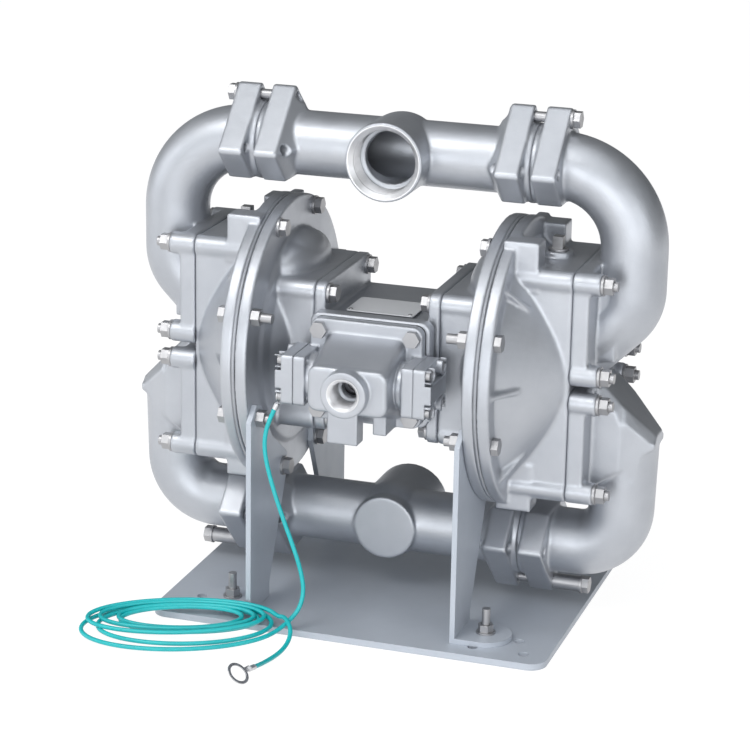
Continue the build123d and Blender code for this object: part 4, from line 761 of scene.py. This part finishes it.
def round_cable(name, points, radius, material):
    """Round curve whose smooth line has the points as its control points."""
    curve = bpy.data.curves.new(name, "CURVE")
    curve.dimensions = "3D"
    curve.bevel_depth = radius
    curve.bevel_resolution = 5
    curve.use_fill_caps = True
    spline = curve.splines.new("NURBS")
    spline.points.add(len(points) - 1)
    for point, place in zip(spline.points, points):
        point.co = (*[v * MM for v in place], 1.0)
    spline.order_u = 3
    spline.use_endpoint_u = True
    spline.resolution_u = 6
    curve.materials.append(material)
    piece = bpy.data.objects.new(name, curve)
    bpy.context.collection.objects.link(piece)
    return piece


cable = round_cable("ground_cable", cable_points, CABLE_RADIUS, materials["cable_green"])
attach(cable, "pump_frame")
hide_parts("ground_cable_drop", "ground_cable_coil", "ground_cable_tail")


def route_length(piece):
    """Length of a curve's own line, with its thickness taken off for the measure."""
    line = piece.copy()
    line.data = piece.data.copy()
    line.data.bevel_depth = 0.0
    bpy.context.collection.objects.link(line)
    graph = bpy.context.evaluated_depsgraph_get()
    mesh = bpy.data.meshes.new_from_object(line.evaluated_get(graph))
    total = sum(
        (mesh.vertices[e.vertices[0]].co - mesh.vertices[e.vertices[1]].co).length
        for e in mesh.edges
    )
    bpy.data.objects.remove(line)
    bpy.data.meshes.remove(mesh)
    return total


cable_length = route_length(cable)


# White floor that keeps a faint shadow
FLOOR_HALF_SIZE = 6.0
FLOOR_HEIGHT = -0.0005
GLOW_SHARE = 0.80


def stage():
    s = Shader("stage_white")
    tree = s.tree
    tree.nodes.remove(s.surface)
    diffuse = s.node("ShaderNodeBsdfDiffuse", Color=(0.86, 0.86, 0.87, 1.0))
    glow = s.node("ShaderNodeEmission", Color=(1.0, 1.0, 1.0, 1.0), Strength=1.16)
    path = s.node("ShaderNodeLightPath")
    seen = s.node("ShaderNodeMath", operation="MAXIMUM")
    s.link(path.outputs["Is Camera Ray"], seen.inputs[0])
    s.link(path.outputs["Is Glossy Ray"], seen.inputs[1])
    share = s.node("ShaderNodeMath", operation="MULTIPLY")
    s.link(seen.outputs[0], share.inputs[0])
    share.inputs[1].default_value = GLOW_SHARE
    mix = s.node("ShaderNodeMixShader")
    s.link(share.outputs[0], mix.inputs[0])
    s.link(diffuse.outputs[0], mix.inputs[1])
    s.link(glow.outputs[0], mix.inputs[2])
    s.link(mix.outputs[0], tree.nodes["Material Output"].inputs["Surface"])
    mesh = bpy.data.meshes.new("stage_floor")
    shape = bmesh.new()
    bmesh.ops.create_grid(shape, x_segments=2, y_segments=2, size=FLOOR_HALF_SIZE)
    shape.to_mesh(mesh)
    shape.free()
    floor = bpy.data.objects.new("stage_floor", mesh)
    floor.location.z = FLOOR_HEIGHT
    bpy.context.collection.objects.link(floor)
    mesh.materials.append(s.material)


stage()


# Lamps: all aim at the middle of the pump
LAMP_AIM = (0.0, 0.0, 0.26)
WARM = (1.0, 0.995, 0.98)
COOL = (0.955, 0.975, 1.0)


def area_light(name, place, size, power, colour, size_y=None):
    data = bpy.data.lights.new(name, "AREA")
    data.shape = "RECTANGLE" if size_y else "SQUARE"
    data.size = size
    if size_y:
        data.size_y = size_y
    data.energy = power
    data.color = colour
    light = bpy.data.objects.new(name, data)
    light.location = place
    light.rotation_euler = (Vector(LAMP_AIM) - Vector(place)).to_track_quat("-Z", "Y").to_euler()
    bpy.context.collection.objects.link(light)


area_light("key", (-1.05, -1.55, 2.35), size=1.5, power=26.0, colour=WARM, size_y=0.9)
area_light("front_low", (0.3, -2.6, 0.45), size=2.8, power=23.0, colour=COOL, size_y=1.1)
area_light("left_low", (-2.3, -0.9, 0.7), size=1.2, power=6.0, colour=COOL)
area_light("right_low", (2.2, -1.5, 0.8), size=1.2, power=7.5, colour=COOL)
area_light("top_soft", (0.2, -0.7, 2.7), size=2.0, power=13.0, colour=COOL)


# World: white for the camera; for the object bright in front and dark above and behind
FRONT_DIRECTION = (-0.31, -0.95, 0.0)
# Sockets of a node that mixes colours; their names are not unique
MIX_FACTOR = 0
MIX_FIRST = 6
MIX_SECOND = 7
MIX_RESULT = 2


def sky():
    world = bpy.data.worlds.new("world")
    bpy.context.scene.world = world
    world.use_nodes = True
    tree = world.node_tree
    background = tree.nodes["Background"]
    where = tree.nodes.new("ShaderNodeTexCoord")
    split = tree.nodes.new("ShaderNodeSeparateXYZ")
    tree.links.new(where.outputs["Generated"], split.inputs[0])

    def shaped(socket, stops):
        """Brightness over a value that runs from -1 to 1, with a slightly cool tint."""
        ramp = tree.nodes.new("ShaderNodeValToRGB")
        ramp.color_ramp.interpolation = "EASE"
        half = tree.nodes.new("ShaderNodeMapRange")
        half.inputs[1].default_value = -1.0
        tree.links.new(socket, half.inputs[0])
        elements = ramp.color_ramp.elements
        while len(elements) < len(stops):
            elements.new(0.5)
        for element, (position, value) in zip(elements, stops):
            element.position = position
            element.color = (value * 0.975, value * 0.99, value, 1.0)
        tree.links.new(half.outputs[0], ramp.inputs[0])
        return ramp.outputs["Color"]

    turn = tree.nodes.new("ShaderNodeVectorMath")
    turn.operation = "DOT_PRODUCT"
    tree.links.new(where.outputs["Generated"], turn.inputs[0])
    turn.inputs[1].default_value = FRONT_DIRECTION
    facing = shaped(turn.outputs["Value"], [(0.0, 0.14), (0.40, 0.32), (0.70, 0.84), (0.95, 1.02)])
    rising = shaped(split.outputs["Z"], [(0.0, 1.05), (0.50, 1.0), (0.76, 0.95), (0.98, 0.52)])
    both = tree.nodes.new("ShaderNodeMix")
    both.data_type = "RGBA"
    both.blend_type = "MULTIPLY"
    both.inputs[MIX_FACTOR].default_value = 1.0
    tree.links.new(facing, both.inputs[MIX_FIRST])
    tree.links.new(rising, both.inputs[MIX_SECOND])
    path = tree.nodes.new("ShaderNodeLightPath")
    seen = tree.nodes.new("ShaderNodeMath")
    seen.operation = "MAXIMUM"
    tree.links.new(path.outputs["Is Camera Ray"], seen.inputs[0])
    tree.links.new(path.outputs["Is Transmission Ray"], seen.inputs[1])
    shown = tree.nodes.new("ShaderNodeMix")
    shown.data_type = "RGBA"
    tree.links.new(seen.outputs[0], shown.inputs[MIX_FACTOR])
    tree.links.new(both.outputs[MIX_RESULT], shown.inputs[MIX_FIRST])
    shown.inputs[MIX_SECOND].default_value = (1.0, 1.0, 1.0, 1.0)
    tree.links.new(shown.outputs[MIX_RESULT], background.inputs["Color"])
    background.inputs["Strength"].default_value = 1.0


sky()

bpy.context.scene.view_settings.view_transform = "Standard"
